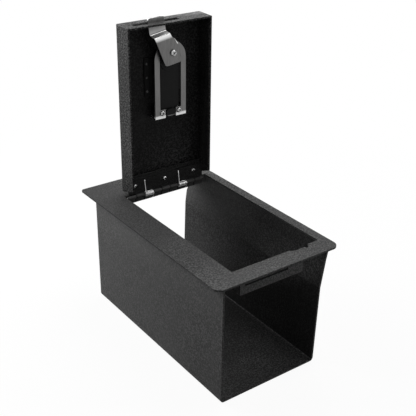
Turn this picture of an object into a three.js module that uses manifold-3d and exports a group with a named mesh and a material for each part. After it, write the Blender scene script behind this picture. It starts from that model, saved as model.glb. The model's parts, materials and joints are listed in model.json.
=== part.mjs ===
// Console safe: an open steel channel under a flanged deck plate, with a sprung lid that carries a dial lock.
// Millimetres, +Z up, +X to the right, +Y away from the open front. The origin is the centre of the floor's underside.
// The lid stands open at a right angle, which is where its hinge springs hold it.

import * as THREE from "three";
import Module from "manifold-3d";
import { mergeVertices } from "three/addons/utils/BufferGeometryUtils.js";

const wasm = await Module();
wasm.setup();

// Driving dimensions

const SHEET = 2.7; // 12 gauge steel sheet
const GAP = 0.3; // gap kept between pieces that seat on each other

const OPENING_WIDTH = 150;
const OPENING_LENGTH = 268.6;
const OPENING_CORNER = 2;

const DECK_LEFT = 43.3; // deck left of the opening
const DECK_RIGHT = 14.5;
const DECK_FRONT = 28.6;
const DECK_BACK = 59.4;
const DECK_FRONT_CORNER = 12;
const DECK_BACK_CORNER = 5;

const NOTCH_START = 96.2; // finger notch in the opening's front edge, from the opening's left edge
const NOTCH_WIDTH = 34.8;
const NOTCH_DEPTH = 4.4;
const NOTCH_EASE = 9; // length over which its left end slopes
const NOTCH_NICK_WIDTH = 4.6; // deeper nick near its right end
const NOTCH_NICK_DEPTH = 7;

const BODY_HEIGHT = 178.6; // floor's underside to deck's top
const BODY_LENGTH = 324.6;
const WALL_OUTSET = 34.9; // left wall's outer face, left of the opening
const FLOOR_WIDTH = 165.2;
const RIGHT_BEND_DROP = 56.5; // the right wall bends out this far below the deck's top
const RIGHT_BEND_OUTSET = 3.3; // past the floor's edge
const RIGHT_UPPER_DROP = 22; // the right wall's second bend
const RIGHT_UPPER_OUTSET = 18.6;
const RIGHT_FRONT_SETBACK = 8.5; // the flared part's front edge is cut back this much
const RIGHT_BACK_REACH = 7; // and its back edge stands this much past the floor's
const BEND_RADIUS = 4; // middle of the sheet

const STRIKE_START = -8.6; // from the opening's left edge
const STRIKE_WIDTH = 106.5;
const STRIKE_HEIGHT = 15;
const STRIKE_DEPTH = 17;
const STRIKE_SLOT_INSET = 8.6;
const STRIKE_SLOT_WIDTH = 70.8;
const STRIKE_SLOT_HEIGHT = 3.2;

const HINGE_DROP = 3.6; // hinge axis below the deck's top
const KNUCKLE_RADIUS = 2.8;
const LEAF_THICKNESS = 1.5;
const PIN_RADIUS = 1.15;
const HINGE_SEGMENTS = 9;
const SEGMENT_PITCH = 15.5;
const HINGE_OFFSET = 2.3; // hinge's middle, left of the opening's
const LID_KNUCKLES = [1, 4, 7];
const SPRING_SEGMENTS = [2, 6];
const BOX_LEAF_HEIGHT = 9.9; // below the axis
const LID_LEAF_HEIGHT = 26; // above the axis
const DECK_FLANGE_HEIGHT = 14; // deck's edge turned down behind the hinge

const SPRING_WIRE_RADIUS = 0.55;
const SPRING_RADIUS = 3.3; // middle of the wire
const SPRING_CURLS = 8.5;
const SPRING_PITCH = 1.64;
const SPRING_CURL_STEPS = 8;
const SPRING_SIDES = 5;
const SPRING_LID_LEG = 24;
const SPRING_BOX_LEG = 9;

const LID_SIDE_CLEARANCE = 3.65;
const LID_SWING_CLEARANCE = 0.8;
const LID_DEPTH = 32.4;
const LID_BACK_SET = 16.6; // lid's outer face behind the hinge axis
const LID_FOOT = 8.1; // lid's lower end above the hinge axis
const LID_FOOT_FLAT = 7.8; // level part of the side walls' lower edge
const LID_RIM_LIFT = 9.75; // the rim's lower corners are cut back this much
const LID_FLANGE_HEIGHT = 24; // return flange that the hinge leaf is bolted to
const LID_BEND = 1.8; // outer radius of the pan's bends and corners
const LID_END_LEAN = 1.1; // the end wall stands this much higher at the plate than at the rim

const BOLT_SPREAD = 53.8;
const BOLT_OFFSET = 4.2; // middle bolt, left of the opening's middle
const BOLT_HEIGHT = 18; // above the hinge axis
const BOLT_HEAD_RADIUS = 3.6;
const BOLT_HEAD_HEIGHT = 3.4;
const BOLT_SHANK_RADIUS = 1.7;
const BOLT_SHANK_END = 2; // past the flange

const LOCK_X = 79.7; // lock's centre line, from the opening's left edge
const SPINDLE_DROP = 45.1; // lock's spindle below the lid's top
const SPINDLE_RADIUS = 4;
const SPINDLE_COLLAR_RADIUS = 8;
const SPINDLE_COLLAR_THICKNESS = 2.6;

const TONGUE_SLOT_START = 19.3; // in the lid's end wall, from the opening's left edge
const TONGUE_SLOT_WIDTH = 76.7;
const TONGUE_SLOT_FRONT = 9.1; // from the lid's rim
const TONGUE_SLOT_GAP = 9;

const FRAME_THICKNESS = 2;
const FRAME_FRONT = 10; // frame's front face behind the lid's rim
const FRAME_RADIUS = 27.2;
const FRAME_ARM = 8.8;
const FRAME_ARCH_DROP = 11; // arch's centre below the spindle
const FRAME_FOOT_DROP = 89; // arch's centre to the feet's lower edge
const FRAME_FOOT_HEIGHT = 13.5;
const FRAME_FOOT_REACH = 9.2; // feet's inner ends, from the lock's centre line
const FRAME_SCREW_SPREAD = 14.8;
const FRAME_SCREW_LIFT = 8; // above the feet's lower edge
const FRAME_SCREW_HEAD_RADIUS = 4;
const FRAME_SCREW_HEAD_HEIGHT = 2.2;
const FRAME_SCREW_SHANK_RADIUS = 2;
const FRAME_SCREW_SHANK = 8;

const HOUSING_HALF_WIDTH = 15.7;
const HOUSING_WALL = 1.5;
const HOUSING_HUB_RADIUS = 17.6;
const HOUSING_HUB_RISE = 2;
const HOUSING_RING_RADIUS = 14;
const HOUSING_RING_RISE = 0.8;
const HOUSING_BAR_HALF_WIDTH = 23;
const HOUSING_BAR_HEIGHT = 13.6;
const HOUSING_BASE_HALF_WIDTH = 34.5;
const HOUSING_BASE_DROP = 66.3; // base flange's lower end below the spindle
const HOUSING_BASE_TOP_DROP = 9.4; // its upper end below the spindle
const HOUSING_BASE_THICKNESS = 2.2;
const PLUG_HALF_WIDTH = 8.1;
const PLUG_HEIGHT = 10.6;
const PLUG_THICKNESS = 3.2;
const SIDE_SCREW_OFFSET = 30.6; // left of the lock's centre line
const SIDE_SCREW_DROPS = [59.4, 38.6, 17.8]; // below the spindle
const SIDE_SCREW_HEAD_RADIUS = 1.9;
const SIDE_SCREW_HEAD_HEIGHT = 1.5;
const SIDE_SCREW_SHANK_RADIUS = 1;

const LEVER_THICKNESS = 1.8;
const LEVER_FRONT = 2.6; // lever's front face behind the lid's rim
const LEVER_TILT = THREE.MathUtils.degToRad(8.8); // turned to the left
const LEVER_SHELF_RISE = 31.3; // shelf's back above the pivot, along the lever
const LEVER_SHELF_SLOPE = 2.6; // shelf's front is this much lower
const LEVER_BEND_RADIUS = 2.2; // middle of the strip
const TONGUE_BACK = 16.2; // tongue's back face behind the lid's rim
const LEVER_SCREW_HEAD_RADIUS = 4.9;
const LEVER_SCREW_HEAD_HEIGHT = 3;
const LEVER_SCREW_SHANK_RADIUS = 2;
const LEVER_SCREW_SHANK = 9;

// Outline of the lever seen from the front: across the lever and up along it, both from the pivot.
const LEVER_OUTLINE = [
  [-27.2, 53.6],
  [-24.6, 55.8],
  [-6.1, 54.6],
  [-0.4, 52.9],
  [0.7, 51.2],
  [0.7, 27],
  [2.6, 22.6],
  [5.8, 20.2],
  [10.6, 11.4],
  [12.2, 5],
  [12.2, -14.8],
  [10.4, -17.1],
  [-12.4, -17.1],
  [-15.2, -15.6],
  [-16.4, -12.8],
  [-27.2, 31.3],
];

const DIAL_COUNT = 4;
const DIAL_PITCH = 11;
const DIAL_DROP = 36; // highest dial's centre below the spindle
const DIAL_RADIUS = 11.5;
const DIAL_THICKNESS = 7.4;
const DIAL_FLUTES = 10;
const DIAL_FLUTE_DEPTH = 0.9;
const DIAL_AXIS_DEPTH = 3.6; // dials' axis in front of the lid plate's inner face
const DIAL_AXLE_RADIUS = 1.6;
const DIAL_AXLE_SEAT = 2.4; // axle's length in each end wall
const DIAL_CLEARANCE = 0.9;
const RUNNING_CLEARANCE = 0.35;

const ESCUTCHEON_HALF_WIDTH = 24;
const ESCUTCHEON_DROP = 89.1; // its lower end below the spindle
const ESCUTCHEON_RISE = 24.9; // its upper end above the spindle
const ESCUTCHEON_THICKNESS = 2.4;
const ESCUTCHEON_CORNER = 8;
const KNOB_RADIUS = 16;
const KNOB_BASE = 4.2;
const KNOB_GRIP = 12;
const KNOB_GRIP_THICKNESS = 9;
const KNOB_GAP = 0.5;
const KNOB_SEAT = 7.5; // spindle's length inside the knob

const ROUND = 28; // sides of a large round
const SMALL_ROUND = 16;

// Places that follow from the sizes, in a frame at the opening's front left corner on the deck's top

const AXIS_Y = OPENING_LENGTH - GAP - KNUCKLE_RADIUS;
const AXIS_Z = -HINGE_DROP;
const HINGE_LENGTH = HINGE_SEGMENTS * SEGMENT_PITCH;
const HINGE_START = OPENING_WIDTH / 2 - HINGE_OFFSET - HINGE_LENGTH / 2;
const HINGE_END = HINGE_START + HINGE_LENGTH;

// In the lid's own frame Y and Z start at the hinge axis.
const LID_LEFT = LID_SIDE_CLEARANCE;
const LID_RIGHT = OPENING_WIDTH - LID_SIDE_CLEARANCE;
const LID_BACK = LID_BACK_SET;
const LID_INSIDE = LID_BACK - SHEET;
const LID_RIM = LID_BACK - LID_DEPTH;
const LID_REACH = AXIS_Y - LID_SWING_CLEARANCE; // largest radius that swings past the opening's front edge
const LID_TOP = Math.sqrt(LID_REACH ** 2 - LID_RIM ** 2);
const SPINDLE_HEIGHT = LID_TOP - SPINDLE_DROP;
const FRAME_ARCH_HEIGHT = SPINDLE_HEIGHT - FRAME_ARCH_DROP;
const LEAF_BACK = KNUCKLE_RADIUS;
const LEAF_FRONT = LEAF_BACK - LEAF_THICKNESS;
const FLANGE_FRONT = LEAF_BACK + GAP;
const FLANGE_BACK = FLANGE_FRONT + SHEET;

const FRAME_Y = LID_RIM + FRAME_FRONT;
const FRAME_BACK = FRAME_Y + FRAME_THICKNESS;
const FRAME_BOTTOM = FRAME_ARCH_HEIGHT - FRAME_FOOT_DROP;
const HOUSING_FRONT = FRAME_BACK + GAP;
const HOUSING_BACK = LID_INSIDE - GAP;
const DIAL_AXIS = LID_INSIDE - DIAL_AXIS_DEPTH;
const DIAL_BAY_HALF_WIDTH = DIAL_RADIUS + DIAL_CLEARANCE;
const DIAL_BAY_TOP = SPINDLE_HEIGHT - DIAL_DROP + DIAL_PITCH / 2;
const DIAL_BAY_BOTTOM = DIAL_BAY_TOP - DIAL_COUNT * DIAL_PITCH;
const LEVER_Y = LID_RIM + LEVER_FRONT;
const LEVER_BACK = LEVER_Y + LEVER_THICKNESS;
const TONGUE_Y = LID_RIM + TONGUE_BACK;
const ESCUTCHEON_INNER = LID_BACK + GAP;
const ESCUTCHEON_OUTER = ESCUTCHEON_INNER + ESCUTCHEON_THICKNESS;
const KNOB_INNER = ESCUTCHEON_OUTER + KNOB_GAP;

// Materials

function paint(color, roughness) {
  return new THREE.MeshStandardMaterial({ color, roughness, metalness: 0.15 });
}

function metal(color, roughness) {
  return new THREE.MeshStandardMaterial({ color, roughness, metalness: 1 });
}

const powderCoat = paint(0x1b1b1c, 0.62);
const hingeBlack = paint(0x141415, 0.4);
const housingBlack = paint(0x101011, 0.5);
const stainless = metal(0x8c8c8a, 0.34);
const springSteel = metal(0xd2d2d0, 0.25);
const fastenerSteel = metal(0xc4c4c2, 0.3);
const dialWhite = paint(0xd9d8d2, 0.45);

// Solids

function solidOf(geometry) {
  const bare = geometry.clone();
  bare.deleteAttribute("normal");
  bare.deleteAttribute("uv");
  const merged = mergeVertices(bare, 1e-4);
  const vertProperties = new Float32Array(merged.attributes.position.array);
  const triVerts = new Uint32Array(merged.index.array);
  return new wasm.Manifold(new wasm.Mesh({ numProp: 3, vertProperties, triVerts }));
}

function geometryOf(solid) {
  const mesh = solid.getMesh();
  const geometry = new THREE.BufferGeometry();
  geometry.setAttribute("position", new THREE.BufferAttribute(new Float32Array(mesh.vertProperties), 3));
  geometry.setIndex(new THREE.BufferAttribute(new Uint32Array(mesh.triVerts), 1));
  const flat = geometry.toNonIndexed();
  flat.computeVertexNormals();
  return flat;
}

function join(first, ...others) {
  return others.reduce((sum, next) => sum.add(next), first);
}

function cut(first, ...others) {
  return others.reduce((rest, next) => rest.subtract(next), first);
}

function block(x0, x1, y0, y1, z0, z1) {
  const geometry = new THREE.BoxGeometry(x1 - x0, y1 - y0, z1 - z0);
  geometry.translate((x0 + x1) / 2, (y0 + y1) / 2, (z0 + z1) / 2);
  return solidOf(geometry);
}

// A round bar along Y, from y0 to y1.
function rodY(x, z, radius, y0, y1, sides = ROUND) {
  const geometry = new THREE.CylinderGeometry(radius, radius, y1 - y0, sides);
  geometry.translate(x, (y0 + y1) / 2, z);
  return solidOf(geometry);
}

function rodX(y, z, radius, x0, x1, sides = SMALL_ROUND) {
  const geometry = new THREE.CylinderGeometry(radius, radius, x1 - x0, sides);
  geometry.rotateZ(Math.PI / 2);
  geometry.translate((x0 + x1) / 2, y, z);
  return solidOf(geometry);
}

function rodZ(x, y, radius, z0, z1, sides = SMALL_ROUND) {
  const geometry = new THREE.CylinderGeometry(radius, radius, z1 - z0, sides);
  geometry.rotateX(Math.PI / 2);
  geometry.translate(x, y, (z0 + z1) / 2);
  return solidOf(geometry);
}

function extrude(shape, depth) {
  return new THREE.ExtrudeGeometry(shape, { depth, bevelEnabled: false, curveSegments: 5 });
}

// A shape drawn in X and Z, extruded from y0 to y1.
function platesXZ(shape, y0, y1) {
  const geometry = extrude(shape, y1 - y0);
  geometry.rotateX(Math.PI / 2);
  geometry.translate(0, y1, 0);
  return solidOf(geometry);
}

// A shape drawn in Y and Z, extruded from x0 to x1.
function platesYZ(shape, x0, x1) {
  const geometry = extrude(shape, x1 - x0);
  geometry.applyMatrix4(new THREE.Matrix4().set(0, 0, 1, 0, 1, 0, 0, 0, 0, 1, 0, 0, 0, 0, 0, 1));
  geometry.translate(x0, 0, 0);
  return solidOf(geometry);
}

function shapeOf(points) {
  return new THREE.Shape(points.map(([a, b]) => new THREE.Vector2(a, b)));
}

// A shape drawn in X and Y, extruded from z0 to z1.
function platesXY(shape, z0, z1) {
  const geometry = extrude(shape, z1 - z0);
  geometry.translate(0, 0, z0);
  return solidOf(geometry);
}

// A polygon whose points may have a corner radius as their third number.
function filletedShape(points, steps = 5) {
  const outline = [];
  points.forEach(([a, b, radius = 0], i) => {
    const corner = new THREE.Vector2(a, b);
    if (radius === 0) {
      outline.push([a, b]);
    } else {
      const [a0, b0] = points[(i + points.length - 1) % points.length];
      const [a1, b1] = points[(i + 1) % points.length];
      const before = new THREE.Vector2(a0, b0).sub(corner).normalize();
      const after = new THREE.Vector2(a1, b1).sub(corner).normalize();
      const half = Math.acos(before.dot(after)) / 2;
      const inward = before.clone().add(after).normalize();
      const centre = corner.clone().addScaledVector(inward, radius / Math.sin(half));
      const start = corner.clone().addScaledVector(before, radius / Math.tan(half)).sub(centre);
      const sweep = (Math.PI - 2 * half) * Math.sign(before.cross(after)) * -1;
      for (let k = 0; k <= steps; k += 1) {
        const p = start.clone().rotateAround(new THREE.Vector2(), (sweep * k) / steps).add(centre);
        outline.push([p.x, p.y]);
      }
    }
  });
  return shapeOf(outline);
}

// A rectangle whose corners have the radii given from the lower left one, counterclockwise.
function roundedRectangle(path, x0, x1, y0, y1, [r0, r1, r2, r3]) {
  path.moveTo(x0 + r0, y0);
  path.lineTo(x1 - r1, y0);
  path.absarc(x1 - r1, y0 + r1, r1, -Math.PI / 2, 0, false);
  path.lineTo(x1, y1 - r2);
  path.absarc(x1 - r2, y1 - r2, r2, 0, Math.PI / 2, false);
  path.lineTo(x0 + r3, y1);
  path.absarc(x0 + r3, y1 - r3, r3, Math.PI / 2, Math.PI, false);
  path.lineTo(x0, y0 + r0);
  path.absarc(x0 + r0, y0 + r0, r0, Math.PI, Math.PI * 1.5, false);
  return path;
}

// The outline of a bent sheet whose middle runs through the given points, with rounded bends.
function bentSheet(points, thickness, radius, steps = 4) {
  const middle = points.map(([a, b]) => new THREE.Vector2(a, b));
  const run = [middle[0]];
  const turns = [null];
  for (let i = 1; i < middle.length - 1; i += 1) {
    const before = middle[i].clone().sub(middle[i - 1]).normalize();
    const after = middle[i + 1].clone().sub(middle[i]).normalize();
    const angle = Math.atan2(before.cross(after), before.dot(after));
    const back = radius * Math.tan(Math.abs(angle) / 2);
    const start = middle[i].clone().addScaledVector(before, -back);
    const side = Math.sign(angle);
    const centre = start.clone().add(new THREE.Vector2(-before.y, before.x).multiplyScalar(side * radius));
    for (let k = 0; k <= steps; k += 1) {
      const turned = start.clone().sub(centre).rotateAround(new THREE.Vector2(), (angle * k) / steps);
      run.push(centre.clone().add(turned));
      turns.push(before.clone().rotateAround(new THREE.Vector2(), (angle * k) / steps));
    }
  }
  run.push(middle[middle.length - 1]);
  turns.push(null);
  turns[0] = middle[1].clone().sub(middle[0]).normalize();
  turns[turns.length - 1] = run[run.length - 1].clone().sub(middle[middle.length - 2]).normalize();
  const offset = (side) => run.map((p, i) => [
    p.x - (turns[i].y * side * thickness) / 2,
    p.y + (turns[i].x * side * thickness) / 2,
  ]);
  return shapeOf([...offset(-1), ...offset(1).reverse()]);
}

// A domed head with its shank behind it, both along Y. The head's flat face is at y, and the head points to -Y.
function screwY(x, y, z, headRadius, headHeight, shankRadius, shankLength, sides = SMALL_ROUND) {
  const profile = [
    [0, -headHeight],
    [headRadius * 0.55, -headHeight],
    [headRadius * 0.88, -headHeight * 0.62],
    [headRadius, -headHeight * 0.25],
    [headRadius, 0],
    [shankRadius, 0],
    [shankRadius, shankLength],
    [0, shankLength],
  ].map(([r, along]) => new THREE.Vector2(r, along));
  const geometry = new THREE.LatheGeometry(profile, sides);
  geometry.translate(x, y, z);
  return solidOf(geometry);
}

// A cross recess in a head whose top is at y.
function crossRecess(x, y, z, size, depth, turn) {
  const bars = [0, Math.PI / 2].map((angle) => {
    const geometry = new THREE.BoxGeometry(size, depth * 2, size * 0.26);
    geometry.rotateY(angle + turn);
    geometry.translate(x, y, z);
    return solidOf(geometry);
  });
  return bars[0].add(bars[1]);
}

// The scene graph

const safe = new THREE.Group();
const box = new THREE.Group();
box.position.set(WALL_OUTSET - FLOOR_WIDTH / 2, DECK_FRONT - BODY_LENGTH / 2, BODY_HEIGHT);
safe.add(box);

const lid = new THREE.Group();
lid.position.set(0, AXIS_Y, AXIS_Z);
box.add(lid);

function addTo(group, name, solid, material) {
  const mesh = new THREE.Mesh(geometryOf(solid), material);
  mesh.name = name;
  group.add(mesh);
}

// Body channel: left wall, floor and a right wall that flares out above its bend

const wallTop = -SHEET - GAP;
const wallFoot = -BODY_HEIGHT + SHEET / 2;
const leftMiddle = -WALL_OUTSET + SHEET / 2;
const rightMiddle = -WALL_OUTSET + FLOOR_WIDTH - SHEET / 2;
const rightTop = OPENING_WIDTH + GAP + SHEET / 2;
const rightUpper = rightMiddle + RIGHT_UPPER_OUTSET;
const overrun = ((rightTop - rightUpper) * SHEET) / (wallTop + RIGHT_UPPER_DROP);
const channelOutline = bentSheet(
  [
    [leftMiddle, wallTop],
    [leftMiddle, wallFoot],
    [rightMiddle, wallFoot],
    [rightMiddle + RIGHT_BEND_OUTSET, -RIGHT_BEND_DROP],
    [rightUpper, -RIGHT_UPPER_DROP],
    [rightTop + overrun, wallTop + SHEET],
  ],
  SHEET,
  BEND_RADIUS,
);
const overWalls = block(-DECK_LEFT, OPENING_WIDTH + DECK_RIGHT, -DECK_FRONT - 1, BODY_LENGTH, wallTop, SHEET);
const setback = shapeOf([
  [-DECK_FRONT - 1, -RIGHT_BEND_DROP],
  [-DECK_FRONT, -RIGHT_BEND_DROP],
  [-DECK_FRONT + RIGHT_FRONT_SETBACK, -RIGHT_UPPER_DROP],
  [-DECK_FRONT + RIGHT_FRONT_SETBACK, SHEET],
  [-DECK_FRONT - 1, SHEET],
]);
const bodyBack = BODY_LENGTH - DECK_FRONT;
const past = bodyBack + RIGHT_BACK_REACH;
const belowReach = shapeOf([
  [bodyBack, -BODY_HEIGHT - 1],
  [past + 1, -BODY_HEIGHT - 1],
  [past + 1, -(RIGHT_BEND_DROP + RIGHT_UPPER_DROP) / 2],
  [past, -(RIGHT_BEND_DROP + RIGHT_UPPER_DROP) / 2],
  [bodyBack, -RIGHT_BEND_DROP],
]);
addTo(
  box,
  "body_channel",
  cut(
    platesXZ(channelOutline, -DECK_FRONT, past),
    overWalls,
    platesYZ(setback, OPENING_WIDTH / 2, OPENING_WIDTH + DECK_RIGHT),
    block(-DECK_LEFT, OPENING_WIDTH / 2, bodyBack, past + 1, -BODY_HEIGHT - 1, SHEET),
    platesYZ(belowReach, OPENING_WIDTH / 2 - 1, OPENING_WIDTH + DECK_RIGHT),
  ),
  powderCoat,
);

// Top deck, with its back edge of the opening turned down behind the hinge

const deckLeft = -DECK_LEFT;
const deckRight = OPENING_WIDTH + DECK_RIGHT;
const deckBack = OPENING_LENGTH + DECK_BACK;
const deckShape = roundedRectangle(new THREE.Shape(), deckLeft, deckRight, -DECK_FRONT, deckBack, [
  DECK_FRONT_CORNER,
  DECK_FRONT_CORNER,
  DECK_BACK_CORNER,
  DECK_BACK_CORNER,
]);
deckShape.holes.push(
  roundedRectangle(new THREE.Path(), 0, OPENING_WIDTH, 0, OPENING_LENGTH, [
    OPENING_CORNER,
    OPENING_CORNER,
    OPENING_CORNER,
    OPENING_CORNER,
  ]),
);
const deckGeometry = extrude(deckShape, SHEET);
deckGeometry.translate(0, 0, -SHEET);
const flangeEnd = Math.min(HINGE_START, OPENING_WIDTH / 2);
const springHalf = SEGMENT_PITCH / 2 + GAP;
const springReach = SPRING_RADIUS + SPRING_WIRE_RADIUS + GAP * 2;

function segmentMiddle(index) {
  return HINGE_START + (index + 0.5) * SEGMENT_PITCH;
}

const springReliefs = SPRING_SEGMENTS.map((index) => {
  const x = segmentMiddle(index);
  return block(x - springHalf, x + springHalf, AXIS_Y, AXIS_Y + springReach, AXIS_Z - springReach, 1);
});
const notchEnd = NOTCH_START + NOTCH_WIDTH;
const nickStart = notchEnd - NOTCH_NICK_WIDTH * 2;
const fingerNotch = platesXY(
  shapeOf([
    [NOTCH_START, OPENING_CORNER],
    [NOTCH_START, 0],
    [NOTCH_START + NOTCH_EASE, -NOTCH_DEPTH],
    [nickStart, -NOTCH_DEPTH],
    [nickStart, -NOTCH_NICK_DEPTH],
    [nickStart + NOTCH_NICK_WIDTH, -NOTCH_NICK_DEPTH],
    [notchEnd, 0],
    [notchEnd, OPENING_CORNER],
  ]),
  -SHEET * 2,
  SHEET,
);
addTo(
  box,
  "top_deck",
  cut(
    join(
      solidOf(deckGeometry),
      block(
        flangeEnd,
        OPENING_WIDTH - flangeEnd,
        OPENING_LENGTH,
        OPENING_LENGTH + SHEET,
        -DECK_FLANGE_HEIGHT,
        -SHEET / 2,
      ),
    ),
    ...springReliefs,
    fingerNotch,
  ),
  powderCoat,
);

// Strike bracket: a small channel under the deck's front strip that shields the tongue

const strikeEnd = STRIKE_START + STRIKE_WIDTH;
const strikeTop = -SHEET - GAP;
const strikeFoot = strikeTop - STRIKE_HEIGHT;
const strikeFront = -DECK_FRONT;
const slotStart = STRIKE_START + STRIKE_SLOT_INSET;
addTo(
  box,
  "strike_bracket",
  cut(
    block(STRIKE_START, strikeEnd, strikeFront, strikeFront + STRIKE_DEPTH, strikeFoot, strikeTop),
    block(
      STRIKE_START + SHEET,
      strikeEnd - SHEET,
      strikeFront + SHEET,
      strikeFront + STRIKE_DEPTH + SHEET,
      strikeFoot + SHEET,
      strikeTop + SHEET,
    ),
    block(
      slotStart,
      slotStart + STRIKE_SLOT_WIDTH,
      strikeFront - SHEET,
      strikeFront + SHEET * 2,
      strikeTop - STRIKE_SLOT_HEIGHT,
      strikeTop + SHEET,
    ),
  ),
  powderCoat,
);

// Hinge: two leaves with knuckles in turn, a pin, and a torsion spring in two of the segments

const knuckleLength = SEGMENT_PITCH - GAP;
const otherKnuckleCut = KNUCKLE_RADIUS + GAP * 1.5;
const springCut = springReach;

// One leaf in the hinge's frame. up is 1 for the leaf above the axis and -1 for the one below it.
function hingeLeaf(own, height, up, [start, end]) {
  const rows = [];
  const ordered = (a, b) => (a < b ? [a, b] : [b, a]);
  const plateInner = up * Math.max(springCut, otherKnuckleCut);
  const [low, high] = ordered(plateInner, up * height);
  rows.push(block(start, end, LEAF_FRONT, LEAF_BACK, low, high));
  for (let index = 0; index < HINGE_SEGMENTS; index += 1) {
    if (own.includes(index)) {
      const x0 = segmentMiddle(index) - knuckleLength / 2;
      const x1 = x0 + knuckleLength;
      const [z0, z1] = ordered(0, plateInner + up);
      rows.push(rodX(0, 0, KNUCKLE_RADIUS, x0, x1, 20));
      rows.push(block(x0, x1, LEAF_FRONT, LEAF_BACK, z0, z1));
    }
  }
  const bore = rodX(0, 0, PIN_RADIUS + GAP, HINGE_START - 1, HINGE_END + 1);
  return cut(join(...rows), bore);
}

const boxKnuckles = [...Array(HINGE_SEGMENTS).keys()].filter(
  (index) => !LID_KNUCKLES.includes(index) && !SPRING_SEGMENTS.includes(index),
);
const boltXs = [-1, 0, 1].map((side) => OPENING_WIDTH / 2 - BOLT_OFFSET + side * BOLT_SPREAD);

function boltHoles() {
  return boltXs.map((x) => rodY(x, BOLT_HEIGHT, BOLT_SHANK_RADIUS + GAP, 0, FLANGE_BACK + SHEET, SMALL_ROUND));
}

const hingeBase = new THREE.Group();
hingeBase.position.set(0, AXIS_Y, AXIS_Z);
box.add(hingeBase);
addTo(
  hingeBase,
  "hinge_leaf_box",
  hingeLeaf(boxKnuckles, BOX_LEAF_HEIGHT, -1, [HINGE_START, HINGE_END]),
  hingeBlack,
);
addTo(hingeBase, "hinge_pin", rodX(0, 0, PIN_RADIUS, HINGE_START, HINGE_END), hingeBlack);
const lidLeafSpan = [LID_LEFT + SHEET + GAP, LID_RIGHT - SHEET - GAP];
addTo(
  lid,
  "hinge_leaf_lid",
  cut(hingeLeaf(LID_KNUCKLES, LID_LEAF_HEIGHT, 1, lidLeafSpan), ...boltHoles()),
  hingeBlack,
);

// The wire of one spring: a leg down on the box's leaf, the curls round the pin, and a leg up on the lid's leaf.
function springPoints() {
  const steps = Math.round(SPRING_CURLS * SPRING_CURL_STEPS);
  const width = SPRING_CURLS * SPRING_PITCH;
  const rest = LEAF_FRONT - GAP - SPRING_WIRE_RADIUS;
  const lean = (length) => {
    const reach = Math.hypot(SPRING_RADIUS, length);
    return Math.asin(rest / reach) + Math.atan2(SPRING_RADIUS, length);
  };
  const leanUp = lean(SPRING_LID_LEG);
  const leanDown = lean(SPRING_BOX_LEG);
  const start = Math.PI + leanDown;
  const end = start - 2 * Math.PI * SPRING_CURLS;
  const goal = Math.PI - leanUp;
  const turns = Math.round((goal - end) / (2 * Math.PI));
  const total = goal - turns * 2 * Math.PI - start;
  const points = [];
  for (let k = 0; k <= steps; k += 1) {
    const angle = start + (total * k) / steps;
    const x = width / 2 - (width * k) / steps;
    points.push(new THREE.Vector3(x, SPRING_RADIUS * Math.cos(angle), SPRING_RADIUS * Math.sin(angle)));
  }
  const down = new THREE.Vector3(0, Math.sin(leanDown), -Math.cos(leanDown));
  const up = new THREE.Vector3(0, Math.sin(leanUp), Math.cos(leanUp));
  points.unshift(points[0].clone().addScaledVector(down, SPRING_BOX_LEG));
  points.push(points[points.length - 1].clone().addScaledVector(up, SPRING_LID_LEG));
  return points;
}

// A closed tube of few sides along straight pieces, mitred where they meet.
function wireTube(points, radius, sides) {
  const along = points.map((p, i) => {
    const before = i > 0 ? p.clone().sub(points[i - 1]).normalize() : new THREE.Vector3();
    const after = i < points.length - 1 ? points[i + 1].clone().sub(p).normalize() : new THREE.Vector3();
    return before.add(after).normalize();
  });
  const positions = [];
  const across = new THREE.Vector3(1, 0, 0);
  points.forEach((p, i) => {
    const u = across.clone().addScaledVector(along[i], -across.dot(along[i])).normalize();
    const v = new THREE.Vector3().crossVectors(along[i], u);
    for (let k = 0; k < sides; k += 1) {
      const angle = (2 * Math.PI * k) / sides;
      const q = p.clone().addScaledVector(u, radius * Math.cos(angle)).addScaledVector(v, radius * Math.sin(angle));
      positions.push(q.x, q.y, q.z);
    }
  });
  const faces = [];
  for (let i = 0; i < points.length - 1; i += 1) {
    for (let k = 0; k < sides; k += 1) {
      const a = i * sides + k;
      const b = i * sides + ((k + 1) % sides);
      faces.push(a, b, a + sides, b, b + sides, a + sides);
    }
  }
  const last = (points.length - 1) * sides;
  for (let k = 1; k < sides - 1; k += 1) {
    faces.push(0, k + 1, k);
    faces.push(last, last + k, last + k + 1);
  }
  const geometry = new THREE.BufferGeometry();
  geometry.setAttribute("position", new THREE.Float32BufferAttribute(positions, 3));
  geometry.setIndex(faces);
  return geometry;
}

// The wire's least gap to itself, measured between points that are more than half a curl apart.
function leastGap(points, radius) {
  const fine = [];
  for (let i = 0; i < points.length - 1; i += 1) {
    for (let k = 0; k < 6; k += 1) {
      fine.push(points[i].clone().lerp(points[i + 1], k / 6));
    }
  }
  const apart = SPRING_CURL_STEPS * 3;
  let least = Infinity;
  for (let i = 0; i < fine.length; i += 1) {
    for (let j = i + apart; j < fine.length; j += 1) {
      least = Math.min(least, fine[i].distanceTo(fine[j]) - 2 * radius);
    }
  }
  return least;
}

const wirePoints = springPoints();
console.log(`spring wire's least gap to itself: ${leastGap(wirePoints, SPRING_WIRE_RADIUS).toFixed(3)} mm`);
["spring_left", "spring_right"].forEach((name, k) => {
  const mesh = new THREE.Mesh(wireTube(wirePoints, SPRING_WIRE_RADIUS, SPRING_SIDES), springSteel);
  mesh.name = name;
  mesh.position.x = segmentMiddle(SPRING_SEGMENTS[k]);
  hingeBase.add(mesh);
});

// Lid pan: plate, side walls cut back at the rim's foot, end wall with the tongue's slot, return flange

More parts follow.
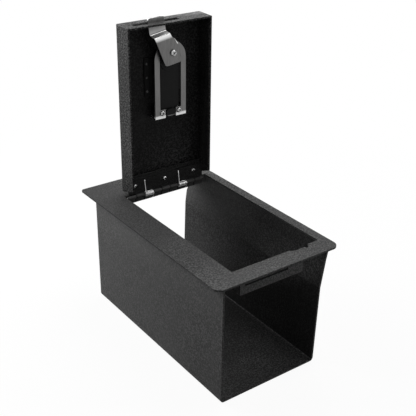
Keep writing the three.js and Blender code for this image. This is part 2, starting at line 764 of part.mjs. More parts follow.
const footBreak = LID_BACK - LID_FOOT_FLAT;
const lidCrest = LID_TOP + LID_END_LEAN;
const lidSide = filletedShape([
  [LID_BACK, LID_FOOT, LID_BEND],
  [LID_BACK, lidCrest, LID_BEND],
  [LID_RIM, LID_TOP],
  [LID_RIM, LID_FOOT + LID_RIM_LIFT, LID_BEND],
  [footBreak, LID_FOOT],
]);
const lidFront = filletedShape([
  [LID_LEFT, LID_FOOT],
  [LID_RIGHT, LID_FOOT],
  [LID_RIGHT, lidCrest, LID_BEND],
  [LID_LEFT, lidCrest, LID_BEND],
]);
const lidSection = filletedShape([
  [LID_LEFT, LID_RIM],
  [LID_RIGHT, LID_RIM],
  [LID_RIGHT, LID_BACK, LID_BEND],
  [LID_LEFT, LID_BACK, LID_BEND],
]);
const endLean = LID_END_LEAN / LID_DEPTH;
const hollowFront = LID_RIM - 1;
const hollowSide = shapeOf([
  [hollowFront, -SHEET],
  [LID_INSIDE, -SHEET],
  [LID_INSIDE, LID_TOP - SHEET + (LID_INSIDE - LID_RIM) * endLean],
  [hollowFront, LID_TOP - SHEET + (hollowFront - LID_RIM) * endLean],
]);
const lidHollow = platesYZ(hollowSide, LID_LEFT + SHEET, LID_RIGHT - SHEET);
const hingeWall = block(LID_LEFT, LID_RIGHT, FLANGE_FRONT, LID_BACK, LID_FOOT, LID_FOOT + SHEET);
const returnFlange = block(LID_LEFT, LID_RIGHT, FLANGE_FRONT, FLANGE_BACK, LID_FOOT, LID_FOOT + LID_FLANGE_HEIGHT);
const slotFront = LID_RIM + TONGUE_SLOT_FRONT;
const tongueSlot = block(
  TONGUE_SLOT_START,
  TONGUE_SLOT_START + TONGUE_SLOT_WIDTH,
  slotFront,
  slotFront + TONGUE_SLOT_GAP,
  LID_TOP - SHEET * 2,
  LID_TOP + SHEET,
);
const spindleHole = rodY(
  LOCK_X,
  SPINDLE_HEIGHT,
  SPINDLE_RADIUS + RUNNING_CLEARANCE,
  LID_RIM,
  ESCUTCHEON_OUTER + SHEET,
);
const dialWindow = block(
  LOCK_X - DIAL_BAY_HALF_WIDTH,
  LOCK_X + DIAL_BAY_HALF_WIDTH,
  LID_INSIDE - SHEET,
  LID_BACK + SHEET,
  DIAL_BAY_BOTTOM,
  DIAL_BAY_TOP,
);
addTo(
  lid,
  "lid_pan",
  cut(
    join(cut(platesYZ(lidSide, LID_LEFT, LID_RIGHT), lidHollow), hingeWall, returnFlange)
      .intersect(platesYZ(lidSide, LID_LEFT, LID_RIGHT))
      .intersect(platesXZ(lidFront, LID_RIM, LID_BACK))
      .intersect(platesXY(lidSection, LID_FOOT, lidCrest)),
    tongueSlot,
    spindleHole,
    dialWindow,
    ...boltHoles(),
  ),
  powderCoat,
);

boltXs.forEach((x, k) => {
  const solid = screwY(
    x,
    LEAF_FRONT - GAP,
    BOLT_HEIGHT,
    BOLT_HEAD_RADIUS,
    BOLT_HEAD_HEIGHT,
    BOLT_SHANK_RADIUS,
    FLANGE_BACK - LEAF_FRONT + GAP + BOLT_SHANK_END,
  );
  addTo(lid, `leaf_bolt_${k + 1}`, solid, fastenerSteel);
});

// Lock housing: hub round the spindle, body with the dials' bay, foot bar and a base flange on the lid's plate

const barBottom = FRAME_BOTTOM + FRAME_THICKNESS + GAP;
const sideScrewX = LOCK_X - SIDE_SCREW_OFFSET;
const sideScrewHeights = SIDE_SCREW_DROPS.map((drop) => SPINDLE_HEIGHT - drop);
const sideScrewFace = HOUSING_BACK - HOUSING_BASE_THICKNESS;
const frameScrewHeight = FRAME_BOTTOM + FRAME_SCREW_LIFT;
const frameScrewXs = [LOCK_X - FRAME_SCREW_SPREAD, LOCK_X + FRAME_SCREW_SPREAD];
const housingSolid = join(
  block(
    LOCK_X - HOUSING_HALF_WIDTH,
    LOCK_X + HOUSING_HALF_WIDTH,
    HOUSING_FRONT,
    HOUSING_BACK,
    barBottom,
    FRAME_ARCH_HEIGHT,
  ),
  rodY(LOCK_X, FRAME_ARCH_HEIGHT, HOUSING_HUB_RADIUS, HOUSING_FRONT - HOUSING_HUB_RISE, HOUSING_BACK),
  rodY(
    LOCK_X,
    FRAME_ARCH_HEIGHT,
    HOUSING_RING_RADIUS,
    HOUSING_FRONT - HOUSING_HUB_RISE - HOUSING_RING_RISE,
    HOUSING_BACK,
  ),
  block(
    LOCK_X - HOUSING_BAR_HALF_WIDTH,
    LOCK_X + HOUSING_BAR_HALF_WIDTH,
    HOUSING_FRONT,
    HOUSING_BACK,
    barBottom,
    barBottom + HOUSING_BAR_HEIGHT,
  ),
  block(
    LOCK_X - HOUSING_BASE_HALF_WIDTH,
    LOCK_X + HOUSING_BASE_HALF_WIDTH,
    HOUSING_BACK - HOUSING_BASE_THICKNESS,
    HOUSING_BACK,
    SPINDLE_HEIGHT - HOUSING_BASE_DROP,
    SPINDLE_HEIGHT - HOUSING_BASE_TOP_DROP,
  ),
);
const dialBay = block(
  LOCK_X - DIAL_BAY_HALF_WIDTH,
  LOCK_X + DIAL_BAY_HALF_WIDTH,
  HOUSING_FRONT + HOUSING_WALL,
  LID_INSIDE,
  DIAL_BAY_BOTTOM,
  DIAL_BAY_TOP,
);
const axleEnds = [DIAL_BAY_BOTTOM - DIAL_AXLE_SEAT, DIAL_BAY_TOP + DIAL_AXLE_SEAT];
addTo(
  lid,
  "lock_housing",
  cut(
    housingSolid,
    dialBay,
    spindleHole,
    rodZ(LOCK_X, DIAL_AXIS, DIAL_AXLE_RADIUS + GAP, axleEnds[0] - GAP, axleEnds[1] + GAP),
    ...frameScrewXs.map((x) =>
      rodY(
        x,
        frameScrewHeight,
        FRAME_SCREW_SHANK_RADIUS + GAP,
        FRAME_Y - 1,
        FRAME_Y + FRAME_SCREW_SHANK + GAP,
        SMALL_ROUND,
      ),
    ),
    ...sideScrewHeights.map((z) =>
      rodY(sideScrewX, z, SIDE_SCREW_SHANK_RADIUS + GAP, sideScrewFace - 1, HOUSING_BACK + 1, SMALL_ROUND),
    ),
  ),
  housingBlack,
);
sideScrewHeights.forEach((z, k) => {
  const solid = screwY(
    sideScrewX,
    sideScrewFace - GAP,
    z,
    SIDE_SCREW_HEAD_RADIUS,
    SIDE_SCREW_HEAD_HEIGHT,
    SIDE_SCREW_SHANK_RADIUS,
    HOUSING_BASE_THICKNESS,
    12,
  );
  addTo(lid, `side_screw_${k + 1}`, solid, fastenerSteel);
});

const plugMiddle = barBottom + PLUG_HEIGHT / 2;
const plugShape = roundedRectangle(
  new THREE.Shape(),
  LOCK_X - PLUG_HALF_WIDTH,
  LOCK_X + PLUG_HALF_WIDTH,
  plugMiddle - PLUG_HEIGHT / 2,
  plugMiddle + PLUG_HEIGHT / 2,
  [PLUG_HEIGHT * 0.4, PLUG_HEIGHT * 0.4, PLUG_HEIGHT * 0.4, PLUG_HEIGHT * 0.4],
);
addTo(
  lid,
  "housing_plug",
  platesXZ(plugShape, HOUSING_FRONT - GAP - PLUG_THICKNESS, HOUSING_FRONT - GAP),
  housingBlack,
);

// Lock frame: a stainless arch whose feet turn inwards and bend back to the lid's plate

const archShape = new THREE.Shape();
archShape.moveTo(LOCK_X + FRAME_RADIUS, FRAME_BOTTOM);
archShape.lineTo(LOCK_X + FRAME_RADIUS, FRAME_ARCH_HEIGHT);
archShape.absarc(LOCK_X, FRAME_ARCH_HEIGHT, FRAME_RADIUS, 0, Math.PI, false);
archShape.lineTo(LOCK_X - FRAME_RADIUS, FRAME_BOTTOM);
archShape.lineTo(LOCK_X - FRAME_FOOT_REACH, FRAME_BOTTOM);
archShape.lineTo(LOCK_X - FRAME_FOOT_REACH, FRAME_BOTTOM + FRAME_FOOT_HEIGHT);
archShape.lineTo(LOCK_X - FRAME_RADIUS + FRAME_ARM, FRAME_BOTTOM + FRAME_FOOT_HEIGHT);
archShape.lineTo(LOCK_X - FRAME_RADIUS + FRAME_ARM, FRAME_ARCH_HEIGHT);
archShape.absarc(LOCK_X, FRAME_ARCH_HEIGHT, FRAME_RADIUS - FRAME_ARM, Math.PI, 0, true);
archShape.lineTo(LOCK_X + FRAME_RADIUS - FRAME_ARM, FRAME_BOTTOM + FRAME_FOOT_HEIGHT);
archShape.lineTo(LOCK_X + FRAME_FOOT_REACH, FRAME_BOTTOM + FRAME_FOOT_HEIGHT);
archShape.lineTo(LOCK_X + FRAME_FOOT_REACH, FRAME_BOTTOM);
archShape.closePath();
const footReturn = (side) => {
  const xs = [LOCK_X + side * FRAME_FOOT_REACH, LOCK_X + side * FRAME_RADIUS].sort((a, b) => a - b);
  return block(xs[0], xs[1], FRAME_Y, HOUSING_BACK, FRAME_BOTTOM, FRAME_BOTTOM + FRAME_THICKNESS);
};
const archGeometry = new THREE.ExtrudeGeometry(archShape, {
  depth: FRAME_THICKNESS,
  bevelEnabled: false,
  curveSegments: 14,
});
archGeometry.rotateX(Math.PI / 2);
archGeometry.translate(0, FRAME_BACK, 0);
addTo(
  lid,
  "lock_frame",
  cut(
    join(solidOf(archGeometry), footReturn(-1), footReturn(1)),
    ...frameScrewXs.map((x) =>
      rodY(x, frameScrewHeight, FRAME_SCREW_SHANK_RADIUS + GAP, FRAME_Y - 1, FRAME_BACK + 1, SMALL_ROUND),
    ),
  ),
  stainless,
);
frameScrewXs.forEach((x, k) => {
  const solid = cut(
    screwY(
      x,
      FRAME_Y - GAP,
      frameScrewHeight,
      FRAME_SCREW_HEAD_RADIUS,
      FRAME_SCREW_HEAD_HEIGHT,
      FRAME_SCREW_SHANK_RADIUS,
      FRAME_SCREW_SHANK,
    ),
    crossRecess(x, FRAME_Y - GAP - FRAME_SCREW_HEAD_HEIGHT, frameScrewHeight, FRAME_SCREW_HEAD_RADIUS, 0.9, 0.4),
  );
  addTo(lid, `frame_screw_${k + 1}`, solid, fastenerSteel);
});

// Dials on their axle, and the escutcheon outside the lid

addTo(lid, "dial_axle", rodZ(LOCK_X, DIAL_AXIS, DIAL_AXLE_RADIUS, axleEnds[0], axleEnds[1]), fastenerSteel);
const dialOutline = [];
for (let k = 0; k < DIAL_FLUTES; k += 1) {
  [-0.34, 0.34, 0.5].forEach((share, step) => {
    const angle = Math.PI / 2 + ((k + share) * 2 * Math.PI) / DIAL_FLUTES;
    const radius = step === 2 ? DIAL_RADIUS - DIAL_FLUTE_DEPTH : DIAL_RADIUS;
    dialOutline.push([radius * Math.cos(angle), radius * Math.sin(angle)]);
  });
}
const dialShape = shapeOf(dialOutline);
const dialBore = new THREE.Path();
dialBore.absarc(0, 0, DIAL_AXLE_RADIUS + RUNNING_CLEARANCE, 0, 2 * Math.PI, true);
dialShape.holes.push(dialBore);
const dialGeometry = extrude(dialShape, DIAL_THICKNESS);
dialGeometry.translate(0, 0, -DIAL_THICKNESS / 2);
const dialSolid = solidOf(dialGeometry);
const dialHeights = [...Array(DIAL_COUNT).keys()].map((k) => DIAL_BAY_BOTTOM + (k + 0.5) * DIAL_PITCH);
dialHeights.forEach((z, k) => {
  const mesh = new THREE.Mesh(geometryOf(dialSolid), dialWhite);
  mesh.name = `dial_${k + 1}`;
  mesh.position.set(LOCK_X, DIAL_AXIS, z);
  lid.add(mesh);
});

const escutcheonShape = roundedRectangle(
  new THREE.Shape(),
  LOCK_X - ESCUTCHEON_HALF_WIDTH,
  LOCK_X + ESCUTCHEON_HALF_WIDTH,
  SPINDLE_HEIGHT - ESCUTCHEON_DROP,
  SPINDLE_HEIGHT + ESCUTCHEON_RISE,
  [ESCUTCHEON_CORNER, ESCUTCHEON_CORNER, ESCUTCHEON_CORNER, ESCUTCHEON_CORNER],
);
const dialSlot = (z) =>
  block(
    LOCK_X - DIAL_RADIUS + DIAL_CLEARANCE,
    LOCK_X + DIAL_RADIUS - DIAL_CLEARANCE,
    LID_BACK,
    ESCUTCHEON_OUTER + 1,
    z - DIAL_THICKNESS / 2 - RUNNING_CLEARANCE * 2,
    z + DIAL_THICKNESS / 2 + RUNNING_CLEARANCE * 2,
  );
addTo(
  lid,
  "escutcheon",
  cut(platesXZ(escutcheonShape, ESCUTCHEON_INNER, ESCUTCHEON_OUTER), spindleHole, ...dialHeights.map(dialSlot)),
  stainless,
);

// Latch: lever with its joggled tongue, pivot screw, spindle and turn knob, which turn as one

const latch = new THREE.Group();
latch.position.set(LOCK_X, 0, SPINDLE_HEIGHT);
lid.add(latch);

const shelfMiddle = LEVER_SHELF_RISE - LEVER_THICKNESS / 2;
const leverReach = Math.max(...LEVER_OUTLINE.flat().map(Math.abs)) + LEVER_THICKNESS;
const stripProfile = bentSheet(
  [
    [LEVER_Y + LEVER_THICKNESS / 2, -leverReach],
    [LEVER_Y + LEVER_THICKNESS / 2, shelfMiddle - LEVER_SHELF_SLOPE],
    [TONGUE_Y - LEVER_THICKNESS / 2, shelfMiddle],
    [TONGUE_Y - LEVER_THICKNESS / 2, leverReach],
  ],
  LEVER_THICKNESS,
  LEVER_BEND_RADIUS,
  5,
);
const leverBlank = platesYZ(stripProfile, -leverReach, leverReach);
const leverOutline = platesXZ(shapeOf(LEVER_OUTLINE), LEVER_Y - LEVER_THICKNESS, TONGUE_Y + LEVER_THICKNESS);
const leverHole = rodY(
  0,
  0,
  LEVER_SCREW_SHANK_RADIUS + GAP,
  LEVER_Y - LEVER_THICKNESS,
  LEVER_BACK + LEVER_THICKNESS,
  SMALL_ROUND,
);
const tiltDegrees = THREE.MathUtils.radToDeg(-LEVER_TILT);
addTo(
  latch,
  "latch_lever",
  cut(leverBlank.intersect(leverOutline), leverHole).rotate([0, tiltDegrees, 0]),
  stainless,
);
addTo(
  latch,
  "lever_screw",
  cut(
    screwY(
      0,
      LEVER_Y - GAP,
      0,
      LEVER_SCREW_HEAD_RADIUS,
      LEVER_SCREW_HEAD_HEIGHT,
      LEVER_SCREW_SHANK_RADIUS,
      LEVER_SCREW_SHANK,
      20,
    ),
    crossRecess(0, LEVER_Y - GAP - LEVER_SCREW_HEAD_HEIGHT, 0, LEVER_SCREW_HEAD_RADIUS * 1.1, 1, 0.5),
  ),
  fastenerSteel,
);
const collarFront = LEVER_BACK + GAP;
addTo(
  latch,
  "latch_spindle",
  cut(
    join(
      rodY(0, 0, SPINDLE_RADIUS, collarFront, KNOB_INNER + KNOB_SEAT, 20),
      rodY(0, 0, SPINDLE_COLLAR_RADIUS, collarFront, collarFront + SPINDLE_COLLAR_THICKNESS),
    ),
    rodY(
      0,
      0,
      LEVER_SCREW_SHANK_RADIUS + GAP,
      collarFront - 1,
      LEVER_Y + LEVER_SCREW_SHANK + GAP,
      SMALL_ROUND,
    ),
  ),
  fastenerSteel,
);
const knobFace = KNOB_INNER + KNOB_BASE;
const knobSolid = cut(
  join(
    rodY(0, 0, KNOB_RADIUS, KNOB_INNER, knobFace),
    block(
      -KNOB_GRIP_THICKNESS / 2,
      KNOB_GRIP_THICKNESS / 2,
      knobFace - 1,
      knobFace + KNOB_GRIP,
      -KNOB_RADIUS * 0.92,
      KNOB_RADIUS * 0.92,
    ),
  ),
  rodY(0, 0, SPINDLE_RADIUS + GAP, KNOB_INNER - 1, KNOB_INNER + KNOB_SEAT + GAP, 20),
);
addTo(latch, "turn_knob", knobSolid, housingBlack);

export default safe;
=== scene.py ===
"""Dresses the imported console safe: camera, floor, light, materials and the fine pieces."""

import json
import math

import bpy
from mathutils import Matrix, Vector
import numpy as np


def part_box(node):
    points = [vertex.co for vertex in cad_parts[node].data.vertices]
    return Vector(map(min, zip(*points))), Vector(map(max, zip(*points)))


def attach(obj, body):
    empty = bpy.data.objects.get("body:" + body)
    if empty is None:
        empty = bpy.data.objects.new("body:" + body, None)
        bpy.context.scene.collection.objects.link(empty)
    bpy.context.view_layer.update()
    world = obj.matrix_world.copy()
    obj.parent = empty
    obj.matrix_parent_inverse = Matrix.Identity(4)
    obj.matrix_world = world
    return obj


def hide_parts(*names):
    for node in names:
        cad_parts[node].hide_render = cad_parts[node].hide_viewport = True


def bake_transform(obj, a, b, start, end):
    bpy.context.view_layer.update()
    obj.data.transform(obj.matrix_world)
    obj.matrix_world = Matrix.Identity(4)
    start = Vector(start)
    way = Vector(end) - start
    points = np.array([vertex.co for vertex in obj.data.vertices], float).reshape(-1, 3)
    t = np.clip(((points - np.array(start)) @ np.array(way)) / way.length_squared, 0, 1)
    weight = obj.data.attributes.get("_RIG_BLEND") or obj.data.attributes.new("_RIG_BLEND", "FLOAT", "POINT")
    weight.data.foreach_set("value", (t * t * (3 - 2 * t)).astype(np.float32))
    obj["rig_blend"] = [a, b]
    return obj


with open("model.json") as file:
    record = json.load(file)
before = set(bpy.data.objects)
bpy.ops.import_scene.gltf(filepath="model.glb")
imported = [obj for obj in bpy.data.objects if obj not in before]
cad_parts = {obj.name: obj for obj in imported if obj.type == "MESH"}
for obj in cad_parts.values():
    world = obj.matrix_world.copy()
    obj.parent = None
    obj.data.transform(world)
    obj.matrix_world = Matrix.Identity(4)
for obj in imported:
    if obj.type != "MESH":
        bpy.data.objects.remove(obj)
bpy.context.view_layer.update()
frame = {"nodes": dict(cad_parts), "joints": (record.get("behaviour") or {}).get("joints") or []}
NODES = frame["nodes"]
JOINTS = {joint["name"]: joint for joint in frame["joints"]}
HINGE = Vector(JOINTS["lid_hinge"]["pos_m"])
PIVOT = Vector(JOINTS["latch_turn"]["pos_m"])
MM = 0.001
TURN = 2 * math.pi

# Camera, fitted to the photograph

PHOTO_PIXELS = 416
FOCAL_PIXELS = 815.94
SENSOR_MM = 36.0
CLIP_NEAR = 0.05
CLIP_FAR = 30.0
AZIMUTH = math.radians(36.239)
ELEVATION = math.radians(26.742)
ROLL = math.radians(0.768)
CAMERA_AT = Vector((-0.60523, -0.84085, 0.72396))


def add_camera():
    forward = Vector(
        (
            math.sin(AZIMUTH) * math.cos(ELEVATION),
            math.cos(AZIMUTH) * math.cos(ELEVATION),
            -math.sin(ELEVATION),
        )
    )
    level = Vector((math.cos(AZIMUTH), -math.sin(AZIMUTH), 0.0))
    upright = level.cross(forward)
    right = math.cos(ROLL) * level + math.sin(ROLL) * upright
    up = -math.sin(ROLL) * level + math.cos(ROLL) * upright
    data = bpy.data.cameras.new("camera")
    data.sensor_width = SENSOR_MM
    data.lens = FOCAL_PIXELS / PHOTO_PIXELS * SENSOR_MM
    data.clip_start = CLIP_NEAR
    data.clip_end = CLIP_FAR
    camera = bpy.data.objects.new("camera", data)
    bpy.context.collection.objects.link(camera)
    turn = Matrix((right, up, -forward)).transposed()
    camera.matrix_world = Matrix.Translation(CAMERA_AT) @ turn.to_4x4()
    bpy.context.scene.camera = camera


add_camera()

# Node helpers


def new_material(name):
    made = bpy.data.materials.new(name)
    made.use_nodes = True
    tree = made.node_tree
    return made, tree, tree.nodes["Principled BSDF"]


def add(tree, kind, values=None, **settings):
    node = tree.nodes.new(kind)
    for key, value in settings.items():
        setattr(node, key, value)
    for key, value in (values or {}).items():
        node.inputs[key].default_value = value
    return node


def noise(tree, source, grain):
    """The grain gives the noise's scale, detail and roughness."""
    scale, detail, rough = grain
    node = add(
        tree,
        "ShaderNodeTexNoise",
        {"Scale": scale, "Detail": detail, "Roughness": rough},
    )
    tree.links.new(source, node.inputs["Vector"])
    return node.outputs["Fac"]


def remap(tree, source, span, low=0.0, high=1.0, clamp=True):
    """Turns the values over a span into values from low to high."""
    node = add(
        tree,
        "ShaderNodeMapRange",
        {
            "From Min": span[0],
            "From Max": span[1],
            "To Min": low,
            "To Max": high,
        },
        clamp=clamp,
    )
    tree.links.new(source, node.inputs["Value"])
    return node.outputs["Result"]


def blend_colours(tree, factor, first, second):
    node = add(tree, "ShaderNodeMix", data_type="RGBA")
    for socket, value in ((node.inputs[6], first), (node.inputs[7], second)):
        if isinstance(value, tuple):
            socket.default_value = value
        else:
            tree.links.new(value, socket)
    tree.links.new(factor, node.inputs[0])
    return node.outputs[2]


def grey(level, warm=0.0):
    return (level * (1 + warm), level, level * (1 - warm), 1.0)


def combine(tree, operation, first, *others):
    """Applies one operation to several values, each an output of the tree or a number."""
    for other in others:
        node = add(tree, "ShaderNodeMath", operation=operation)
        tree.links.new(first, node.inputs[0])
        if isinstance(other, float):
            node.inputs[1].default_value = other
        else:
            tree.links.new(other, node.inputs[1])
        first = node.outputs[0]
    return first


def multiply(tree, first, *others):
    return combine(tree, "MULTIPLY", first, *others)


def largest(tree, first, *others):
    return combine(tree, "MAXIMUM", first, *others)


def own_place(tree, kind="Object"):
    return add(tree, "ShaderNodeTexCoord").outputs[kind]


def along(tree, axis, kind="Object"):
    """One coordinate of the object's own space, or of its surface's direction."""
    parts = add(tree, "ShaderNodeSeparateXYZ")
    tree.links.new(own_place(tree, kind), parts.inputs[0])
    return parts.outputs[axis]


def ramp(tree, axis, span, start=0.0, end=1.0, base=0.0, kind="Object"):
    """A share that goes from start to end over a span along an axis, measured from base."""
    from_base = (base + span[0], base + span[1])
    return remap(tree, along(tree, axis, kind), from_base, start, end)


def bump(tree, shader, height, strength, distance):
    node = add(
        tree, "ShaderNodeBump", {"Strength": strength, "Distance": distance}
    )
    tree.links.new(height, node.inputs["Height"])
    tree.links.new(node.outputs["Normal"], shader.inputs["Normal"])


NOISE_SPAN = (0.3, 0.7)


def finish_with(tree, shader, colour, cloud, rough):
    """Links the colour, and a roughness that follows a noise."""
    tree.links.new(colour, shader.inputs["Base Color"])
    tree.links.new(
        remap(tree, cloud, NOISE_SPAN, *rough), shader.inputs["Roughness"]
    )


# Finishes

CLOUD_SPAN = (0.35, 0.65)
COAT_ROUGH = (0.5, 0.62)
COAT_PEEL = (520.0, 3.0, 0.6)
COAT_BUMP = (0.7, 0.0006)
COAT_SPECKS = (430.0, 4.0, 0.7)
SPECK_SPAN = (0.46, 0.6)
COAT_PATCHES = (16.0, 3.0, 0.5)
PATCH_LOW = 0.55
EDGE_WEAR_AND_HIGHLIGHT = (0.53, 0.62)
WEAR_AND_HIGHLIGHT_SHARE = 0.5
WEAR_AND_HIGHLIGHT_GAIN = 1.5
PAINTED_LIGHT_GAIN = 3
SMOOTHED_SHADE_LEVEL = 0.04
SHADE_LEVEL = 0.002


def powder_coat(
    name, dark, light, specular=0.07, smoothed_shade=None, painted_light=None, shade=None
):
    """Black textured powder coat: a fine orange peel with paler grains, paler along the edges as wear and as
    a painted highlight.

    The three masks, in this order, say where the coat gets painted shade with a smoother grain, painted
    light and painted shade.
    """
    made, tree, shader = new_material(name)
    place = own_place(tree)
    peel = noise(tree, place, COAT_PEEL)
    grain = noise(tree, place, COAT_SPECKS)
    cloud = noise(tree, place, COAT_PATCHES)
    specks = remap(tree, grain, SPECK_SPAN)
    patches = remap(tree, cloud, CLOUD_SPAN, PATCH_LOW, 1.0)
    colour = blend_colours(
        tree, multiply(tree, specks, patches), grey(dark), grey(light)
    )
    # The paler edges are partly wear and partly a painted highlight where the edges catch the light
    edges = add(tree, "ShaderNodeNewGeometry").outputs["Pointiness"]
    wear_and_highlight = remap(tree, edges, EDGE_WEAR_AND_HIGHLIGHT, 0.0, WEAR_AND_HIGHLIGHT_SHARE)
    colour = blend_colours(tree, wear_and_highlight, colour, grey(light * WEAR_AND_HIGHLIGHT_GAIN))
    # Painted shade with a smoother grain, painted light and painted shade, each where its mask says
    for mask, level in (
        (smoothed_shade, SMOOTHED_SHADE_LEVEL),
        (painted_light, light * PAINTED_LIGHT_GAIN),
        (shade, SHADE_LEVEL),
    ):
        if mask:
            colour = blend_colours(tree, mask(tree), colour, grey(level))
    finish_with(tree, shader, colour, cloud, COAT_ROUGH)
    shader.inputs["Specular IOR Level"].default_value = specular
    bump(tree, shader, peel, *COAT_BUMP)
    return made


SATIN_CLOUD = (60.0, 4.0, 0.55)
SATIN_GRAIN = (900.0, 2.0, 0.5)
SATIN_BUMP = (0.2, 0.0001)


def satin(name, dark, light, rough, specular, painted_light_mask=None, painted_light_level=0.0):
    """Smooth finish with a faint cloudiness; the mask says where it gets painted light, at another level."""
    made, tree, shader = new_material(name)
    place = own_place(tree)
    cloud = noise(tree, place, SATIN_CLOUD)
    fine = noise(tree, place, SATIN_GRAIN)
    shares = remap(tree, cloud, CLOUD_SPAN)
    colour = blend_colours(tree, shares, grey(dark), grey(light))
    if painted_light_mask:
        colour = blend_colours(tree, painted_light_mask(tree), colour, grey(painted_light_level))
    finish_with(tree, shader, colour, cloud, rough)
    shader.inputs["Specular IOR Level"].default_value = specular
    bump(tree, shader, fine, *SATIN_BUMP)
    return made


BRUSH_STRETCH = (3200.0, 3200.0, 60.0)
BRUSH_GRAIN = (1.0, 4.0, 0.6)
BRUSH_ROUGH = (0.26, 0.42)
BRUSH_BUMP = (0.25, 0.00005)
SMEAR = (45.0, 3.0, 0.5)
PAINTED_HIGHLIGHT = 0.7
STEEL_WARMTH = 0.01
BEND_SLOPE = (0.25, 0.7)
LEVEL_SLOPE = (0.9, 0.96)
LEVEL_FACE_SHADE = 0.5
SIDE_SLOPE = (-0.5, -0.85)
LEFT_SIDE_SHADE = 0.3
SIDE_SHARE = 0.7


def brushed(name, low, high, painted_highlights, tilt=0.0):
    """Stainless steel with a straight brushed grain, with painted reflections: bright bends, darker level
    faces and left sides, and painted highlights.
    """
    made, tree, shader = new_material(name)
    place = own_place(tree)
    turned = add(tree, "ShaderNodeMapping")
    turned.inputs["Rotation"].default_value = (0.0, tilt, 0.0)
    tree.links.new(place, turned.inputs["Vector"])
    squeezed = add(tree, "ShaderNodeMapping")
    squeezed.inputs["Scale"].default_value = BRUSH_STRETCH
    tree.links.new(turned.outputs["Vector"], squeezed.inputs["Vector"])
    grain = noise(tree, squeezed.outputs["Vector"], BRUSH_GRAIN)
    smear = noise(tree, place, SMEAR)
    colour = blend_colours(
        tree,
        remap(tree, grain, NOISE_SPAN),
        grey(low, STEEL_WARMTH),
        grey(high, STEEL_WARMTH),
    )
    upright = add(tree, "ShaderNodeMath", operation="ABSOLUTE")
    tree.links.new(along(tree, "Z", "Normal"), upright.inputs[0])
    slope = upright.outputs[0]
    side = ramp(tree, "X", SIDE_SLOPE, 0.0, SIDE_SHARE, kind="Normal")
    # Painted reflections: bends bright, level faces and faces turned left darker, and painted highlights
    # where the mask says
    for mask, level in (
        (remap(tree, slope, BEND_SLOPE), PAINTED_HIGHLIGHT),
        (remap(tree, slope, LEVEL_SLOPE), low * LEVEL_FACE_SHADE),
        (side, low * LEFT_SIDE_SHADE),
        (painted_highlights(tree), PAINTED_HIGHLIGHT),
    ):
        colour = blend_colours(tree, mask, colour, grey(level))
    shader.inputs["Metallic"].default_value = 1.0
    finish_with(tree, shader, colour, smear, BRUSH_ROUGH)
    bump(tree, shader, grain, *BRUSH_BUMP)
    return made


PLATING = (420.0, 3.0, 0.5)
PLATING_BUMP = (0.1, 0.00005)


def plated(name, low, high, rough):
    """Bright plated steel, slightly uneven."""
    made, tree, shader = new_material(name)
    cloud = noise(tree, own_place(tree), PLATING)
    shares = remap(tree, cloud, CLOUD_SPAN)
    colour = blend_colours(tree, shares, grey(low), grey(high))
    shader.inputs["Metallic"].default_value = 1.0
    finish_with(tree, shader, colour, cloud, rough)
    bump(tree, shader, cloud, *PLATING_BUMP)
    return made


# The lid's inside gets painted shade in three places: its upper part, its right part
# and the return flange over the hinge leaf

LID_LOW, LID_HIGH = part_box("lid_pan")
LID_WALL = 2.7 * MM
LID_END_WALL = 1.6 * LID_WALL
LID_RIM = (1 * MM, 5 * MM)
LID_UPPER = (15 * MM, 90 * MM)
LID_UPPER_SHADE = 0.66
LID_RIGHT = (-24 * MM, -15 * MM)
LID_RIGHT_SHADE = 0.6
FLANGE_TOP = (25 * MM, 26 * MM)
FLANGE_DEPTH = (5 * MM, 7 * MM)
FLANGE_SHADE = 0.6


def lid_inside_shade(tree):
    mask = ramp(tree, "Y", LID_RIM, base=LID_LOW.y)
    for axis, wall, inner in (
        ("X", LID_LOW.x, LID_LOW.x + LID_WALL),
        ("X", LID_HIGH.x, LID_HIGH.x - LID_WALL),
        ("Z", LID_HIGH.z, LID_HIGH.z - LID_END_WALL),
    ):
        mask = multiply(tree, mask, ramp(tree, axis, ((wall + inner) / 2, inner)))
    upper = ramp(tree, "Z", LID_UPPER, 0.0, LID_UPPER_SHADE, LID_LOW.z)
    right = ramp(tree, "X", LID_RIGHT, 0.0, LID_RIGHT_SHADE, LID_HIGH.x)
    flange = multiply(
        tree,
        ramp(tree, "Z", FLANGE_TOP, FLANGE_SHADE, 0.0, LID_LOW.z),
        ramp(tree, "Y", FLANGE_DEPTH, 1.0, 0.0, HINGE.y),
    )
    return multiply(tree, mask, largest(tree, upper, right, flange))


# The channel: masks for its two walls and its floor, and where each gets painted shade and painted light

WALL_SLOPE = (-0.6, -0.9)
RIGHT_HALF = (0.0, 1 * MM)
LEFT_HALF = (0.0, -1 * MM)
FLOOR_SLOPE = (0.6, 0.9)
FLOOR_TOP = (6 * MM, 8 * MM)
FLOOR_LENGTH = (-120 * MM, -20 * MM)
FLOOR_SHADE = (0.4, 0.75)
FRONT_LEAN = 0.6
FRONT_SPAN = (90 * MM, 30 * MM)
FRONT_SHADE = 0.85
NEAR_SPAN = (10 * MM, -90 * MM)
NEAR_SHADE = 0.45
FOOT_HEIGHT = (80 * MM, 0.0)
FOOT_LENGTH = (-20 * MM, -160 * MM)
FOOT_SHADE = 0.22
UPPER_HEIGHT = (115 * MM, 150 * MM)
UPPER_LENGTH = (-40 * MM, 50 * MM)
UPPER_PAINTED_LIGHT = 0.2
LEFT_LENGTH = (-60 * MM, 130 * MM)
LEFT_FAR_PAINTED_LIGHT = 0.05
LEFT_HEIGHT = (115 * MM, 168 * MM)
LEFT_TOP_PAINTED_LIGHT = 0.09


def on_wall(tree, half):
    """Surfaces that face left: the right wall's inside or the left wall's outside."""
    facing = ramp(tree, "X", WALL_SLOPE, kind="Normal")
    return multiply(tree, facing, ramp(tree, "X", half))


